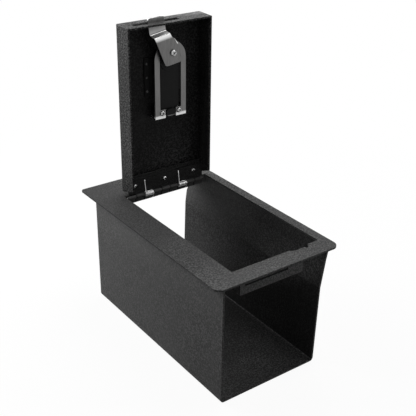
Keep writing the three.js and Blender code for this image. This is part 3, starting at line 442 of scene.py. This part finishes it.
def channel_shade(tree):
    """Painted shade on the right wall towards the open front, on the floor, and on the left wall's foot."""
    leaning = multiply(tree, along(tree, "Y"), FRONT_LEAN)
    place = combine(tree, "ADD", along(tree, "Z"), leaning)
    front = remap(tree, place, FRONT_SPAN, 0.0, FRONT_SHADE)
    nearer = ramp(tree, "Y", NEAR_SPAN, 0.0, NEAR_SHADE)
    right = multiply(
        tree, on_wall(tree, RIGHT_HALF), largest(tree, front, nearer)
    )
    ground = multiply(
        tree,
        ramp(tree, "Z", FLOOR_SLOPE, kind="Normal"),
        ramp(tree, "Z", FLOOR_TOP, 1.0, 0.0),
        ramp(tree, "Y", FLOOR_LENGTH, *FLOOR_SHADE),
    )
    foot = multiply(
        tree,
        on_wall(tree, LEFT_HALF),
        ramp(tree, "Z", FOOT_HEIGHT),
        ramp(tree, "Y", FOOT_LENGTH, 0.0, FOOT_SHADE),
    )
    return largest(tree, right, ground, foot)


def channel_painted_light(tree):
    """Painted light on the right wall's upper part towards the hinge, and on the left wall's far and upper
    parts.
    """
    upper = multiply(
        tree,
        on_wall(tree, RIGHT_HALF),
        ramp(tree, "Z", UPPER_HEIGHT, 0.0, UPPER_PAINTED_LIGHT),
        ramp(tree, "Y", UPPER_LENGTH),
    )
    far = ramp(tree, "Y", LEFT_LENGTH, 0.0, LEFT_FAR_PAINTED_LIGHT)
    top = ramp(tree, "Z", LEFT_HEIGHT, 0.0, LEFT_TOP_PAINTED_LIGHT)
    left = multiply(
        tree, on_wall(tree, LEFT_HALF), combine(tree, "ADD", far, top)
    )
    return largest(tree, upper, left)


# The deck: painted shade with a smoother grain on its left strip towards the hinge, painted light on its
# front and right

DECK_BACK = (-130 * MM, -20 * MM)
DECK_BACK_SHARE = 0.6
DECK_LEFT = (-20 * MM, -50 * MM)
DECK_FRONT = (-90 * MM, -150 * MM)
DECK_RIGHT = (60 * MM, 90 * MM)
DECK_PAINTED_LIGHT = 0.05


# Painted shade, with a smoother grain, on the left strip, growing towards the hinge
def deck_smoothed_shade(tree):
    back = ramp(tree, "Y", DECK_BACK, 0.0, DECK_BACK_SHARE)
    return multiply(tree, back, ramp(tree, "X", DECK_LEFT))


# Painted light on the front and right strips
def deck_painted_light(tree):
    front = ramp(tree, "Y", DECK_FRONT, 0.0, DECK_PAINTED_LIGHT)
    return largest(tree, front, ramp(tree, "X", DECK_RIGHT, 0.0, DECK_PAINTED_LIGHT))


# The strike bracket: painted shade inside it, and a dark line at the joint between its face and its left end

STRIKE_LEFT, STRIKE_FACE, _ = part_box("strike_bracket")[0]
STRIKE_SKIN = (0.2 * MM, 0.8 * MM)
STRIKE_JOINT = (2.0 * MM, 2.6 * MM)
STRIKE_END = (0.3 * MM, 0.8 * MM)


def strike_shade(tree):
    behind = ramp(tree, "Y", STRIKE_SKIN, base=STRIKE_FACE)
    joint = ramp(tree, "Y", STRIKE_JOINT, 1.0, 0.0, STRIKE_FACE)
    inside = ramp(tree, "X", STRIKE_END, base=STRIKE_LEFT)
    return multiply(tree, behind, largest(tree, joint, inside))


# The hinge: a painted highlight on the knuckles, painted shade in a line between each two, and painted shade
# on the leaf's upper edge

SEGMENT_PITCH = 15.5 * MM
HINGE_SEGMENTS = 9
HINGE_MIDDLE = sum(corner.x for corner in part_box("hinge_pin")) / 2
HINGE_START = HINGE_MIDDLE - HINGE_SEGMENTS / 2 * SEGMENT_PITCH
KNUCKLE_REACH = 3.4 * MM
KNUCKLE_TOP = (KNUCKLE_REACH, KNUCKLE_REACH + 0.4 * MM)
KNUCKLE_HIGHLIGHT = 0.7
KNUCKLE_LINE = (0.05, 0.1)
LEAF_EDGE_SLOPE = (0.3, 0.7)
LEAF_EDGE_SHADE = 0.85
LEAF_UPPER = (2 * KNUCKLE_REACH, 3 * KNUCKLE_REACH)


# Where the knuckles are, at the share of their painted highlight
def on_knuckles(tree):
    return ramp(tree, "Z", KNUCKLE_TOP, KNUCKLE_HIGHLIGHT, 0.0, HINGE.z)


# Painted shade in the lines between the knuckles and on the leaf's upper edge
def hinge_shade(tree):
    segment = (HINGE_START, HINGE_START + SEGMENT_PITCH)
    place = remap(tree, along(tree, "X"), segment, clamp=False)
    part = combine(tree, "PINGPONG", place, 0.5)
    line = remap(tree, part, KNUCKLE_LINE, 1.0, 0.0)
    edge = ramp(
        tree, "Z", LEAF_EDGE_SLOPE, 0.0, LEAF_EDGE_SHADE, kind="Normal"
    )
    above = ramp(tree, "Z", LEAF_UPPER, base=HINGE.z)
    return largest(
        tree,
        multiply(tree, line, on_knuckles(tree)),
        multiply(tree, edge, above),
    )


# The lock: painted highlights on the frame's feet and the lever, painted light on the housing's flange and a
# painted highlight on the plug's rim

FRAME_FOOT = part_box("lock_frame")[0].z
FOOT_BEND = (3.5 * MM, 5.5 * MM)
FOOT_HIGHLIGHT = 0.9
LEVER_TILT = math.radians(8.8)
LEVER_FACE_TOP = ((21.5 * MM, 25.5 * MM), (28 * MM, 29 * MM))
LEVER_SHELF_BACK = (32 * MM, 33 * MM)
LEVER_UPPER = (34 * MM, 40 * MM)
LEVER_UPPER_HIGHLIGHT = (0.3, 0.06)
LEVER_EDGE_OUT = (0.86, 0.51)
LEVER_EDGE_DOWN = (0.51, -0.86)
LEVER_EDGE = (12.2 * MM, 13.0 * MM)
LEVER_EDGE_ENDS = ((-17.5 * MM, -16.0 * MM), (-7.5 * MM, -5.5 * MM))
TONGUE_TOP = (50 * MM, 54 * MM)
TONGUE_HIGHLIGHT = 0.9
PLUG_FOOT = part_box("housing_plug")[0].z
PLUG_RIM = (0.8 * MM, 1.8 * MM)
SCREW_LINE = sum(corner.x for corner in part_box("side_screw_1")) / 2
SCREW_STRIP = ((-3 * MM, -2 * MM), (3 * MM, 4 * MM))


# Painted highlight on the bend of the frame's feet
def frame_highlights(tree):
    return ramp(tree, "Z", FOOT_BEND, FOOT_HIGHLIGHT, 0.0, FRAME_FOOT)


def from_pivot(tree, way):
    """The distance from the pivot along a way in the lid's plane, given as (X, Z)."""
    across, upward = way
    there = combine(
        tree,
        "ADD",
        multiply(tree, along(tree, "X"), across),
        multiply(tree, along(tree, "Z"), upward),
    )
    return combine(
        tree, "SUBTRACT", there, PIVOT.x * across + PIVOT.z * upward
    )


def lever_highlights(tree):
    """Painted highlights below the shelf, above it, along the upper right edge, and on the tongue's end."""
    up = from_pivot(tree, (-math.sin(LEVER_TILT), math.cos(LEVER_TILT)))
    below = multiply(
        tree,
        remap(tree, up, LEVER_FACE_TOP[0]),
        remap(tree, up, LEVER_FACE_TOP[1], 1.0, 0.0),
    )
    above = multiply(
        tree,
        remap(tree, up, LEVER_SHELF_BACK),
        remap(tree, up, LEVER_UPPER, *LEVER_UPPER_HIGHLIGHT),
    )
    out = from_pivot(tree, LEVER_EDGE_OUT)
    down = from_pivot(tree, LEVER_EDGE_DOWN)
    edge = multiply(
        tree,
        remap(tree, out, LEVER_EDGE),
        remap(tree, down, LEVER_EDGE_ENDS[0]),
        remap(tree, down, LEVER_EDGE_ENDS[1], 1.0, 0.0),
    )
    tongue = ramp(tree, "Z", TONGUE_TOP, 0.0, TONGUE_HIGHLIGHT, PIVOT.z)
    return largest(tree, below, above, edge, tongue)


# A painted highlight along the plug's lower rim
def plug_rim_highlight(tree):
    return ramp(tree, "Z", PLUG_RIM, 1.0, 0.0, PLUG_FOOT)


def screw_strip_light(tree):
    """Painted light on the base flange along its screws."""
    left, right = SCREW_STRIP
    return multiply(
        tree,
        ramp(tree, "X", left, base=SCREW_LINE),
        ramp(tree, "X", right, 1.0, 0.0, SCREW_LINE),
    )


# Materials

LID_COAT = powder_coat("lid_coat", 0.006, 0.15, shade=lid_inside_shade)
CHANNEL_COAT = powder_coat(
    "channel_coat", 0.024, 0.12, painted_light=channel_painted_light, shade=channel_shade
)
DECK_COAT = powder_coat(
    "deck_coat", 0.024, 0.12, smoothed_shade=deck_smoothed_shade, painted_light=deck_painted_light
)
# A paler copy of the channel's coat, as painted light on the strike bracket, with painted shade inside it
LIT_STRIKE_COAT = powder_coat("strike_coat", 0.05, 0.14, shade=strike_shade)
HINGE_COAT = powder_coat(
    "hinge_coat",
    0.014,
    0.045,
    specular=0.12,
    painted_light=on_knuckles,
    shade=hinge_shade,
)
HOUSING = satin(
    "housing_black",
    0.006,
    0.01,
    rough=(0.38, 0.5),
    specular=0.1,
    painted_light_mask=screw_strip_light,
    painted_light_level=0.02,
)
PLUG = satin(
    "plug_black",
    0.004,
    0.008,
    rough=(0.3, 0.4),
    specular=0.1,
    painted_light_mask=plug_rim_highlight,
    painted_light_level=0.5,
)
# Painted shade for the screws' recesses
SOCKET_SHADE = satin("socket_shadow", 0.006, 0.012, rough=(0.5, 0.6), specular=0.1)
DIAL = satin("dial_white", 0.66, 0.74, rough=(0.35, 0.45), specular=0.5)
INK = satin("dial_ink", 0.008, 0.014, rough=(0.5, 0.6), specular=0.2)
STEEL = brushed("frame_steel", 0.1, 0.17, painted_highlights=frame_highlights)
LEVER_STEEL = brushed(
    "lever_steel", 0.08, 0.17, painted_highlights=lever_highlights, tilt=-LEVER_TILT
)
BRIGHT = plated("bright_steel", 0.16, 0.6, rough=(0.14, 0.3))
DULL = plated("dull_steel", 0.08, 0.14, rough=(0.3, 0.45))
SPRING = plated("spring_steel", 0.9, 1.0, rough=(0.3, 0.4))

# CAD nodes that keep their shape: welded, with small rounded edges

WELD_DISTANCE = 0.000004
BEVEL_ANGLE = math.radians(34.0)


def dress(name, finish, width, segments=2):
    part = NODES[name]
    part.data.materials.clear()
    part.data.materials.append(finish)
    attributes = part.data.attributes
    if "custom_normal" in attributes:
        attributes.remove(attributes["custom_normal"])
    part.data.shade_smooth()
    weld = part.modifiers.new("weld", "WELD")
    weld.merge_threshold = WELD_DISTANCE
    bevel = part.modifiers.new("bevel", "BEVEL")
    bevel.width = width * MM
    bevel.segments = segments
    bevel.limit_method = "ANGLE"
    bevel.angle_limit = BEVEL_ANGLE
    bevel.harden_normals = True


dress("body_channel", CHANNEL_COAT, 0.5)
dress("top_deck", DECK_COAT, 0.5)
dress("strike_bracket", LIT_STRIKE_COAT, 0.5)
dress("lid_pan", LID_COAT, 1.0, 3)
dress("hinge_leaf_box", HINGE_COAT, 0.25)
dress("hinge_leaf_lid", HINGE_COAT, 0.25)
dress("hinge_pin", BRIGHT, 0.2)
dress("lock_housing", HOUSING, 0.5)
dress("housing_plug", PLUG, 1.0, 3)
dress("lock_frame", STEEL, 0.5)
dress("latch_lever", LEVER_STEEL, 0.5)
dress("latch_spindle", BRIGHT, 0.25)
dress("dial_axle", BRIGHT, 0.2)
dress("escutcheon", STEEL, 0.6, 3)
dress("turn_knob", HOUSING, 0.8, 3)

# Mesh helpers

SHARP_ANGLE = math.radians(40.0)
WIRE_SIDES = 12
WIRE_TIPS = (0.2, 0.7)


def make_piece(name, points, faces, finish, body, smooth=True):
    mesh = bpy.data.meshes.new(name)
    mesh.from_pydata([tuple(point) for point in points], [], faces)
    mesh.validate()
    mesh.update()
    piece = bpy.data.objects.new(name, mesh)
    bpy.context.collection.objects.link(piece)
    mesh.materials.append(finish)
    if smooth:
        mesh.shade_smooth()
        mesh.set_sharp_from_angle(angle=SHARP_ANGLE)
    if body:
        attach(piece, body)
    return piece


def bridge(rings, closed_ends=True):
    """Points and faces that join rings of equal length, each a list of points."""
    count = len(rings[0])
    points = [point for ring in rings for point in ring]
    faces = []
    for row in range(len(rings) - 1):
        for k in range(count):
            a = row * count + k
            b = row * count + (k + 1) % count
            faces.append((a, b, b + count, a + count))
    if closed_ends:
        last = (len(rings) - 1) * count
        faces.append(tuple(reversed(range(count))))
        faces.append(tuple(last + k for k in range(count)))
    return points, faces


def wire(points, radius):
    """A round wire along the points, with rounded ends."""
    ways = []
    for i, point in enumerate(points):
        before = point - points[i - 1] if i else points[1] - points[0]
        after = points[i + 1] - point if i < len(points) - 1 else before
        ways.append((before.normalized() + after.normalized()).normalized())
    side = ways[0].orthogonal().normalized()

    def ring(centre, way, size):
        across = (side - way * side.dot(way)).normalized()
        other = way.cross(across)
        angles = [TURN * k / WIRE_SIDES for k in range(WIRE_SIDES)]
        return [
            centre
            + across * (size * math.cos(angle))
            + other * (size * math.sin(angle))
            for angle in angles
        ]

    def tip_ring(end, way, tip, sign):
        size = radius * math.sqrt(1 - (1 - tip) ** 2)
        return ring(end + way * (sign * radius * tip), way, size)

    rings = [tip_ring(points[0], ways[0], tip, 1) for tip in WIRE_TIPS]
    for point, way in zip(points[1:-1], ways[1:-1]):
        side = (side - way * side.dot(way)).normalized()
        rings.append(ring(point, way, radius))
    for tip in reversed(WIRE_TIPS):
        rings.append(tip_ring(points[-1], ways[-1], tip, -1))
    return bridge(rings)


# Hinge springs: smooth wire, wound as in the CAD

SPRING_SEGMENTS = {"spring_left": 2, "spring_right": 6}
WIRE_RADIUS = 0.55 * MM
COIL_RADIUS = 3.3 * MM
CURLS = 8.5
CURL_PITCH = 1.64 * MM
CURL_STEPS = 24
LID_LEG = 24.0 * MM
LID_LEG_STEPS = 8
BOX_LEG = 9.0 * MM
BOX_LEG_STEPS = 5
LEAF_REST = 0.45 * MM


def spring_middle(name):
    offset = SPRING_SEGMENTS[name] - (HINGE_SEGMENTS - 1) / 2
    return Vector((HINGE_MIDDLE + offset * SEGMENT_PITCH, HINGE.y, HINGE.z))


def lean(length):
    """How far a leg of this length leans to lie on its leaf."""
    reach = math.hypot(COIL_RADIUS, length)
    return math.asin(LEAF_REST / reach) + math.atan2(COIL_RADIUS, length)


def spring_points(middle):
    """The wire's middle line: the box's leg, the coil and the lid's leg."""
    lean_up = lean(LID_LEG)
    lean_down = lean(BOX_LEG)
    start = math.pi + lean_down
    goal = math.pi - lean_up
    turns = round((goal - start + TURN * CURLS) / TURN)
    total = goal - turns * TURN - start
    width = CURLS * CURL_PITCH
    steps = round(CURLS * CURL_STEPS)
    coil = []
    for k in range(steps + 1):
        angle = start + total * k / steps
        offset = Vector(
            (
                width / 2 - width * k / steps,
                COIL_RADIUS * math.cos(angle),
                COIL_RADIUS * math.sin(angle),
            )
        )
        coil.append(middle + offset)
    down = Vector((0.0, math.sin(lean_down), -math.cos(lean_down)))
    up = Vector((0.0, math.sin(lean_up), math.cos(lean_up)))
    lower = [
        coil[0] + down * (BOX_LEG * k / BOX_LEG_STEPS)
        for k in range(BOX_LEG_STEPS, 0, -1)
    ]
    upper = [
        coil[-1] + up * (LID_LEG * k / LID_LEG_STEPS)
        for k in range(1, LID_LEG_STEPS + 1)
    ]
    return lower + coil + upper, width


for spring_name in SPRING_SEGMENTS:
    centre = spring_middle(spring_name)
    path, spring_width = spring_points(centre)
    points, faces = wire(path, WIRE_RADIUS)
    spring = make_piece(spring_name + "_wire", points, faces, SPRING, None)
    half = Vector((spring_width / 2, 0.0, 0.0))
    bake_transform(spring, "box", "lid", start=centre + half, end=centre - half)
    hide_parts(spring_name)

# Fasteners: domed heads with a recess for the driver

RING_POINTS = 48
CROSS_BAR = 0.2
SHANK_TIP = 0.75
SHANK_TIP_LENGTH = 0.4 * MM
HEAD_SEAT = 0.96
HEAD_RIM = 0.12
DOME_SHARE = 0.8
DOME_STEPS = 6
RECESS = ((1.06, 0.0), (0.98, 0.25), (0.9, 1.0), (0.3, 1.15))
RECESS_INNER_RINGS = 3


def star(shape, size):
    """The recess's outline as distances from its middle: a six-sided socket or a cross."""
    reach = []
    for k in range(RING_POINTS):
        angle = TURN * k / RING_POINTS
        if shape == "hex":
            off = (angle % (math.pi / 3)) - math.pi / 6
            reach.append(size * math.cos(math.pi / 6) / math.cos(off))
        else:
            off = abs((angle + math.pi / 4) % (math.pi / 2) - math.pi / 4)
            far = size * CROSS_BAR / math.sin(off) if off > 1e-6 else size
            reach.append(min(size, far))
    return reach


def turned_rows(tip, top, head, kind):
    """The screw's outline from the shank's tip to the dome's top, as rows of (y, radius)."""
    seat = top + kind["height"]
    rows = [
        (tip, kind["shank"] * SHANK_TIP),
        (tip - SHANK_TIP_LENGTH, kind["shank"]),
        (seat, kind["shank"]),
        (seat, head * HEAD_SEAT),
        (seat - kind["height"] * HEAD_RIM, head),
    ]
    full = math.sin(DOME_SHARE * math.pi / 2)
    for k in range(1, DOME_STEPS + 1):
        angle = k / DOME_STEPS * DOME_SHARE * math.pi / 2
        rise = HEAD_RIM + (1 - HEAD_RIM) * math.sin(angle) / full
        radius = head * (1 - kind["round"] * (1 - math.cos(angle)))
        rows.append((seat - kind["height"] * rise, radius))
    return rows


def fastener(node, body, kind, turn):
    """Replaces a screw node by one with a domed head, its axis along Y and its head to -Y."""
    low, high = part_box(node)
    x, z = (low.x + high.x) / 2, (low.z + high.z) / 2
    head = (high.x - low.x) / 2
    rings = [
        ([radius] * RING_POINTS, y)
        for y, radius in turned_rows(high.y, low.y, head, kind)
    ]
    outline = star(kind["drive"], kind["recess"])
    for wide, deep in RECESS:
        ring = [reach * wide for reach in outline]
        rings.append((ring, low.y + kind["depth"] * deep))
    loops = []
    for ring, y in rings:
        loop = []
        for k, reach in enumerate(ring):
            angle = TURN * k / RING_POINTS + turn
            across = reach * math.cos(angle)
            upward = reach * math.sin(angle)
            loop.append(Vector((x + across, y, z + upward)))
        loops.append(loop)
    points, faces = bridge(loops)
    piece = make_piece(node + "_head", points, faces, kind["finish"], body)
    # The recess's inner faces take the second finish: painted shade for most kinds
    piece.data.materials.append(kind["inside"])
    first_inside = (len(loops) - RECESS_INNER_RINGS) * RING_POINTS
    for face in piece.data.polygons:
        if all(corner >= first_inside for corner in face.vertices):
            face.material_index = 1
    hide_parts(node)


def screw_kind(
    height, shank, recess, depth, roundness, drive, finish=BRIGHT, inside=SOCKET_SHADE
):
    """The head's height, the shank's and the recess's radius and the recess's depth are in mm."""
    return {
        "height": height * MM,
        "shank": shank * MM,
        "recess": recess * MM,
        "depth": depth * MM,
        "round": roundness,
        "drive": drive,
        "finish": finish,
        "inside": inside,
    }


LEAF_BOLT = screw_kind(
    height=3.4, shank=1.7, recess=1.5, depth=1.4, roundness=0.5, drive="hex"
)
SIDE_SCREW = screw_kind(
    height=1.5,
    shank=1.0,
    recess=1.1,
    depth=0.6,
    roundness=0.4,
    drive="cross",
    finish=DULL,
    inside=DULL,
)
FRAME_SCREW = screw_kind(
    height=2.2, shank=2.0, recess=2.5, depth=1.1, roundness=0.4, drive="cross"
)
LEVER_SCREW = screw_kind(
    height=3.0, shank=2.0, recess=2.6, depth=1.0, roundness=0.35, drive="cross"
)
LEAF_BOLT_TURN = 0.4
SCREW_TURN = 0.5
for k in (1, 2, 3):
    fastener(f"leaf_bolt_{k}", "lid", LEAF_BOLT, LEAF_BOLT_TURN * k)
    fastener(f"side_screw_{k}", "lid", SIDE_SCREW, SCREW_TURN * k)
for k in (1, 2):
    fastener(f"frame_screw_{k}", "lid", FRAME_SCREW, SCREW_TURN * k)
fastener("lever_screw", "latch", LEVER_SCREW, SCREW_TURN)

# Dials: scalloped wheels with plain numbers

DIAL_COUNT = 4
DIAL_RADIUS = 11.5 * MM
DIAL_HALF = 3.7 * MM
DIAL_BORE = 1.95 * MM
DIAL_STEPS = 120
DIAL_ROUNDING = ((0.0, 0.5 * MM), (0.25 * MM, 0.12 * MM), (0.6 * MM, 0.0))
SCALLOP_START = 0.34
SCALLOP_HALF = 0.16
SCALLOP_DEPTH = 0.9 * MM
DIGITS = "0123456789"
DIGIT_SIZE = 5.2 * MM
DIGIT_THICKNESS = 0.06 * MM
DIGIT_REACH = 0.985


def dial_reach(angle):
    """The dial's radius at an angle: ten flats with a scallop between each two."""
    off = ((angle - math.pi / 2) / TURN * len(DIGITS)) % 1.0
    near = min(off, 1 - off)
    dip = max(0.0, (near - SCALLOP_START) / SCALLOP_HALF)
    return DIAL_RADIUS - SCALLOP_DEPTH * math.sin(dip * math.pi / 2) ** 2


def dial_ring(centre, height, shrink=None):
    """A ring of the scalloped outline, shrunk a little, or of the bore."""
    ring = []
    for k in range(DIAL_STEPS):
        angle = TURN * k / DIAL_STEPS
        reach = DIAL_BORE if shrink is None else dial_reach(angle) - shrink
        across = reach * math.cos(angle)
        back = reach * math.sin(angle)
        ring.append(centre + Vector((across, back, height)))
    return ring


def dial_rings(centre):
    rings = [dial_ring(centre, -DIAL_HALF)]
    for inset, shrink in DIAL_ROUNDING:
        rings.append(dial_ring(centre, -DIAL_HALF + inset, shrink))
    for inset, shrink in reversed(DIAL_ROUNDING):
        rings.append(dial_ring(centre, DIAL_HALF - inset, shrink))
    rings.append(dial_ring(centre, DIAL_HALF))
    rings.append(dial_ring(centre, -DIAL_HALF))
    return rings


def digit_mesh(text, centre, angle):
    """One digit on the dial's rim, turned outwards at an angle, as points and faces."""
    curve = bpy.data.curves.new("digit", "FONT")
    curve.body = text
    curve.size = DIGIT_SIZE
    curve.align_x = "CENTER"
    curve.align_y = "CENTER"
    curve.extrude = DIGIT_THICKNESS
    curve.resolution_u = 3
    holder = bpy.data.objects.new("digit", curve)
    bpy.context.collection.objects.link(holder)
    bpy.context.view_layer.update()
    mesh = bpy.data.meshes.new_from_object(
        holder.evaluated_get(bpy.context.evaluated_depsgraph_get())
    )
    bpy.data.objects.remove(holder)
    out = Vector((math.cos(angle), math.sin(angle), 0.0))
    right = Vector((-math.sin(angle), math.cos(angle), 0.0))
    up = Vector((0.0, 0.0, 1.0))
    turn = Matrix((right, up, out)).transposed().to_4x4()
    place = Matrix.Translation(centre + out * DIAL_RADIUS * DIGIT_REACH)
    mesh.transform(place @ turn)
    points = [vertex.co.copy() for vertex in mesh.vertices]
    faces = [tuple(face.vertices) for face in mesh.polygons]
    bpy.data.meshes.remove(mesh)
    return points, faces


for k in range(1, DIAL_COUNT + 1):
    name = f"dial_{k}"
    centre = Vector(JOINTS[name + "_turn"]["pos_m"])
    points, faces = bridge(dial_rings(centre), closed_ends=False)
    wheel = make_piece(name + "_wheel", points, faces, DIAL, name)
    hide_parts(name)
    points = []
    faces = []
    for digit, text in enumerate(DIGITS):
        angle = math.pi / 2 + TURN * (digit - k) / len(DIGITS)
        more, sides = digit_mesh(text, centre, angle)
        faces += [tuple(len(points) + i for i in side) for side in sides]
        points += more
    numbers = make_piece(
        name + "_numbers", points, faces, INK, name, smooth=False
    )

# Floor and world: white where they are seen, plain and dimmer as a source of light

FLOOR_HALF = 6.0
FLOOR_DROP = 0.0002
FLOOR_LIT = 0.38
FLOOR_SEEN = 0.9
FLOOR_GLOW_SPAN = (0.3, 0.9)
FLOOR_GLOW = (0.94, 1.0)
AMBIENT = 0.1


def seen_or_reflected(tree):
    """1 for what the camera, a reflection or a glass sees, and 0 for light on surfaces."""
    path = add(tree, "ShaderNodeLightPath")
    return largest(
        tree,
        path.outputs["Is Camera Ray"],
        path.outputs["Is Glossy Ray"],
        path.outputs["Is Transmission Ray"],
    )


def mix_shaders(tree, share, first, second, output):
    both = add(tree, "ShaderNodeMixShader")
    tree.links.new(share, both.inputs[0])
    tree.links.new(first.outputs[0], both.inputs[1])
    tree.links.new(second.outputs[0], both.inputs[2])
    surface = add(tree, output)
    tree.links.new(both.outputs[0], surface.inputs["Surface"])


def add_floor():
    mesh = bpy.data.meshes.new("floor")
    corners = [
        (-FLOOR_HALF, -FLOOR_HALF, 0.0),
        (FLOOR_HALF, -FLOOR_HALF, 0.0),
        (FLOOR_HALF, FLOOR_HALF, 0.0),
        (-FLOOR_HALF, FLOOR_HALF, 0.0),
    ]
    mesh.from_pydata(corners, [], [(0, 1, 2, 3)])
    floor = bpy.data.objects.new("floor", mesh)
    floor.location.z = -FLOOR_DROP
    bpy.context.collection.objects.link(floor)
    paint = bpy.data.materials.new("floor")
    paint.use_nodes = True
    mesh.materials.append(paint)
    tree = paint.node_tree
    tree.nodes.clear()
    seen = seen_or_reflected(tree)
    matt = add(tree, "ShaderNodeBsdfDiffuse")
    colour = blend_colours(tree, seen, grey(FLOOR_LIT), grey(FLOOR_SEEN))
    tree.links.new(colour, matt.inputs["Color"])
    glow = add(
        tree, "ShaderNodeEmission", {"Color": grey(1.0), "Strength": 1.0}
    )
    away = add(tree, "ShaderNodeVectorMath", operation="LENGTH")
    tree.links.new(own_place(tree), away.inputs[0])
    glowing = remap(
        tree, away.outputs["Value"], FLOOR_GLOW_SPAN, *FLOOR_GLOW
    )
    share = multiply(tree, seen, glowing)
    mix_shaders(tree, share, matt, glow, "ShaderNodeOutputMaterial")


def add_world():
    world = bpy.data.worlds.new("studio")
    bpy.context.scene.world = world
    world.use_nodes = True
    tree = world.node_tree
    tree.nodes.clear()
    ambient, backdrop = (
        add(
            tree,
            "ShaderNodeBackground",
            {"Color": grey(1.0), "Strength": strength},
        )
        for strength in (AMBIENT, 1.0)
    )
    seen = seen_or_reflected(tree)
    mix_shaders(tree, seen, ambient, backdrop, "ShaderNodeOutputWorld")


add_floor()
add_world()

# Lamps, all aimed at the safe's middle

LAMP_TARGET = Vector((0.0, 0.0, 0.2))


def add_lamp(name, place, size, watts):
    data = bpy.data.lights.new(name, "AREA")
    data.shape = "SQUARE"
    data.size = size
    data.energy = watts
    lamp = bpy.data.objects.new(name, data)
    bpy.context.collection.objects.link(lamp)
    lamp.location = place
    aim = LAMP_TARGET - Vector(place)
    lamp.rotation_euler = aim.to_track_quat("-Z", "Y").to_euler()


add_lamp("key", (-0.52, 1.08, 0.82), 0.8, 18.0)
add_lamp("top", (0.6, 0.2, 1.3), 0.9, 11.5)
add_lamp("rim", (0.9, 1.22, 0.95), 0.3, 2.0)
add_lamp("front", (0.2, -1.3, 1.3), 0.6, 1.0)

bpy.context.scene.view_settings.view_transform = "Standard"
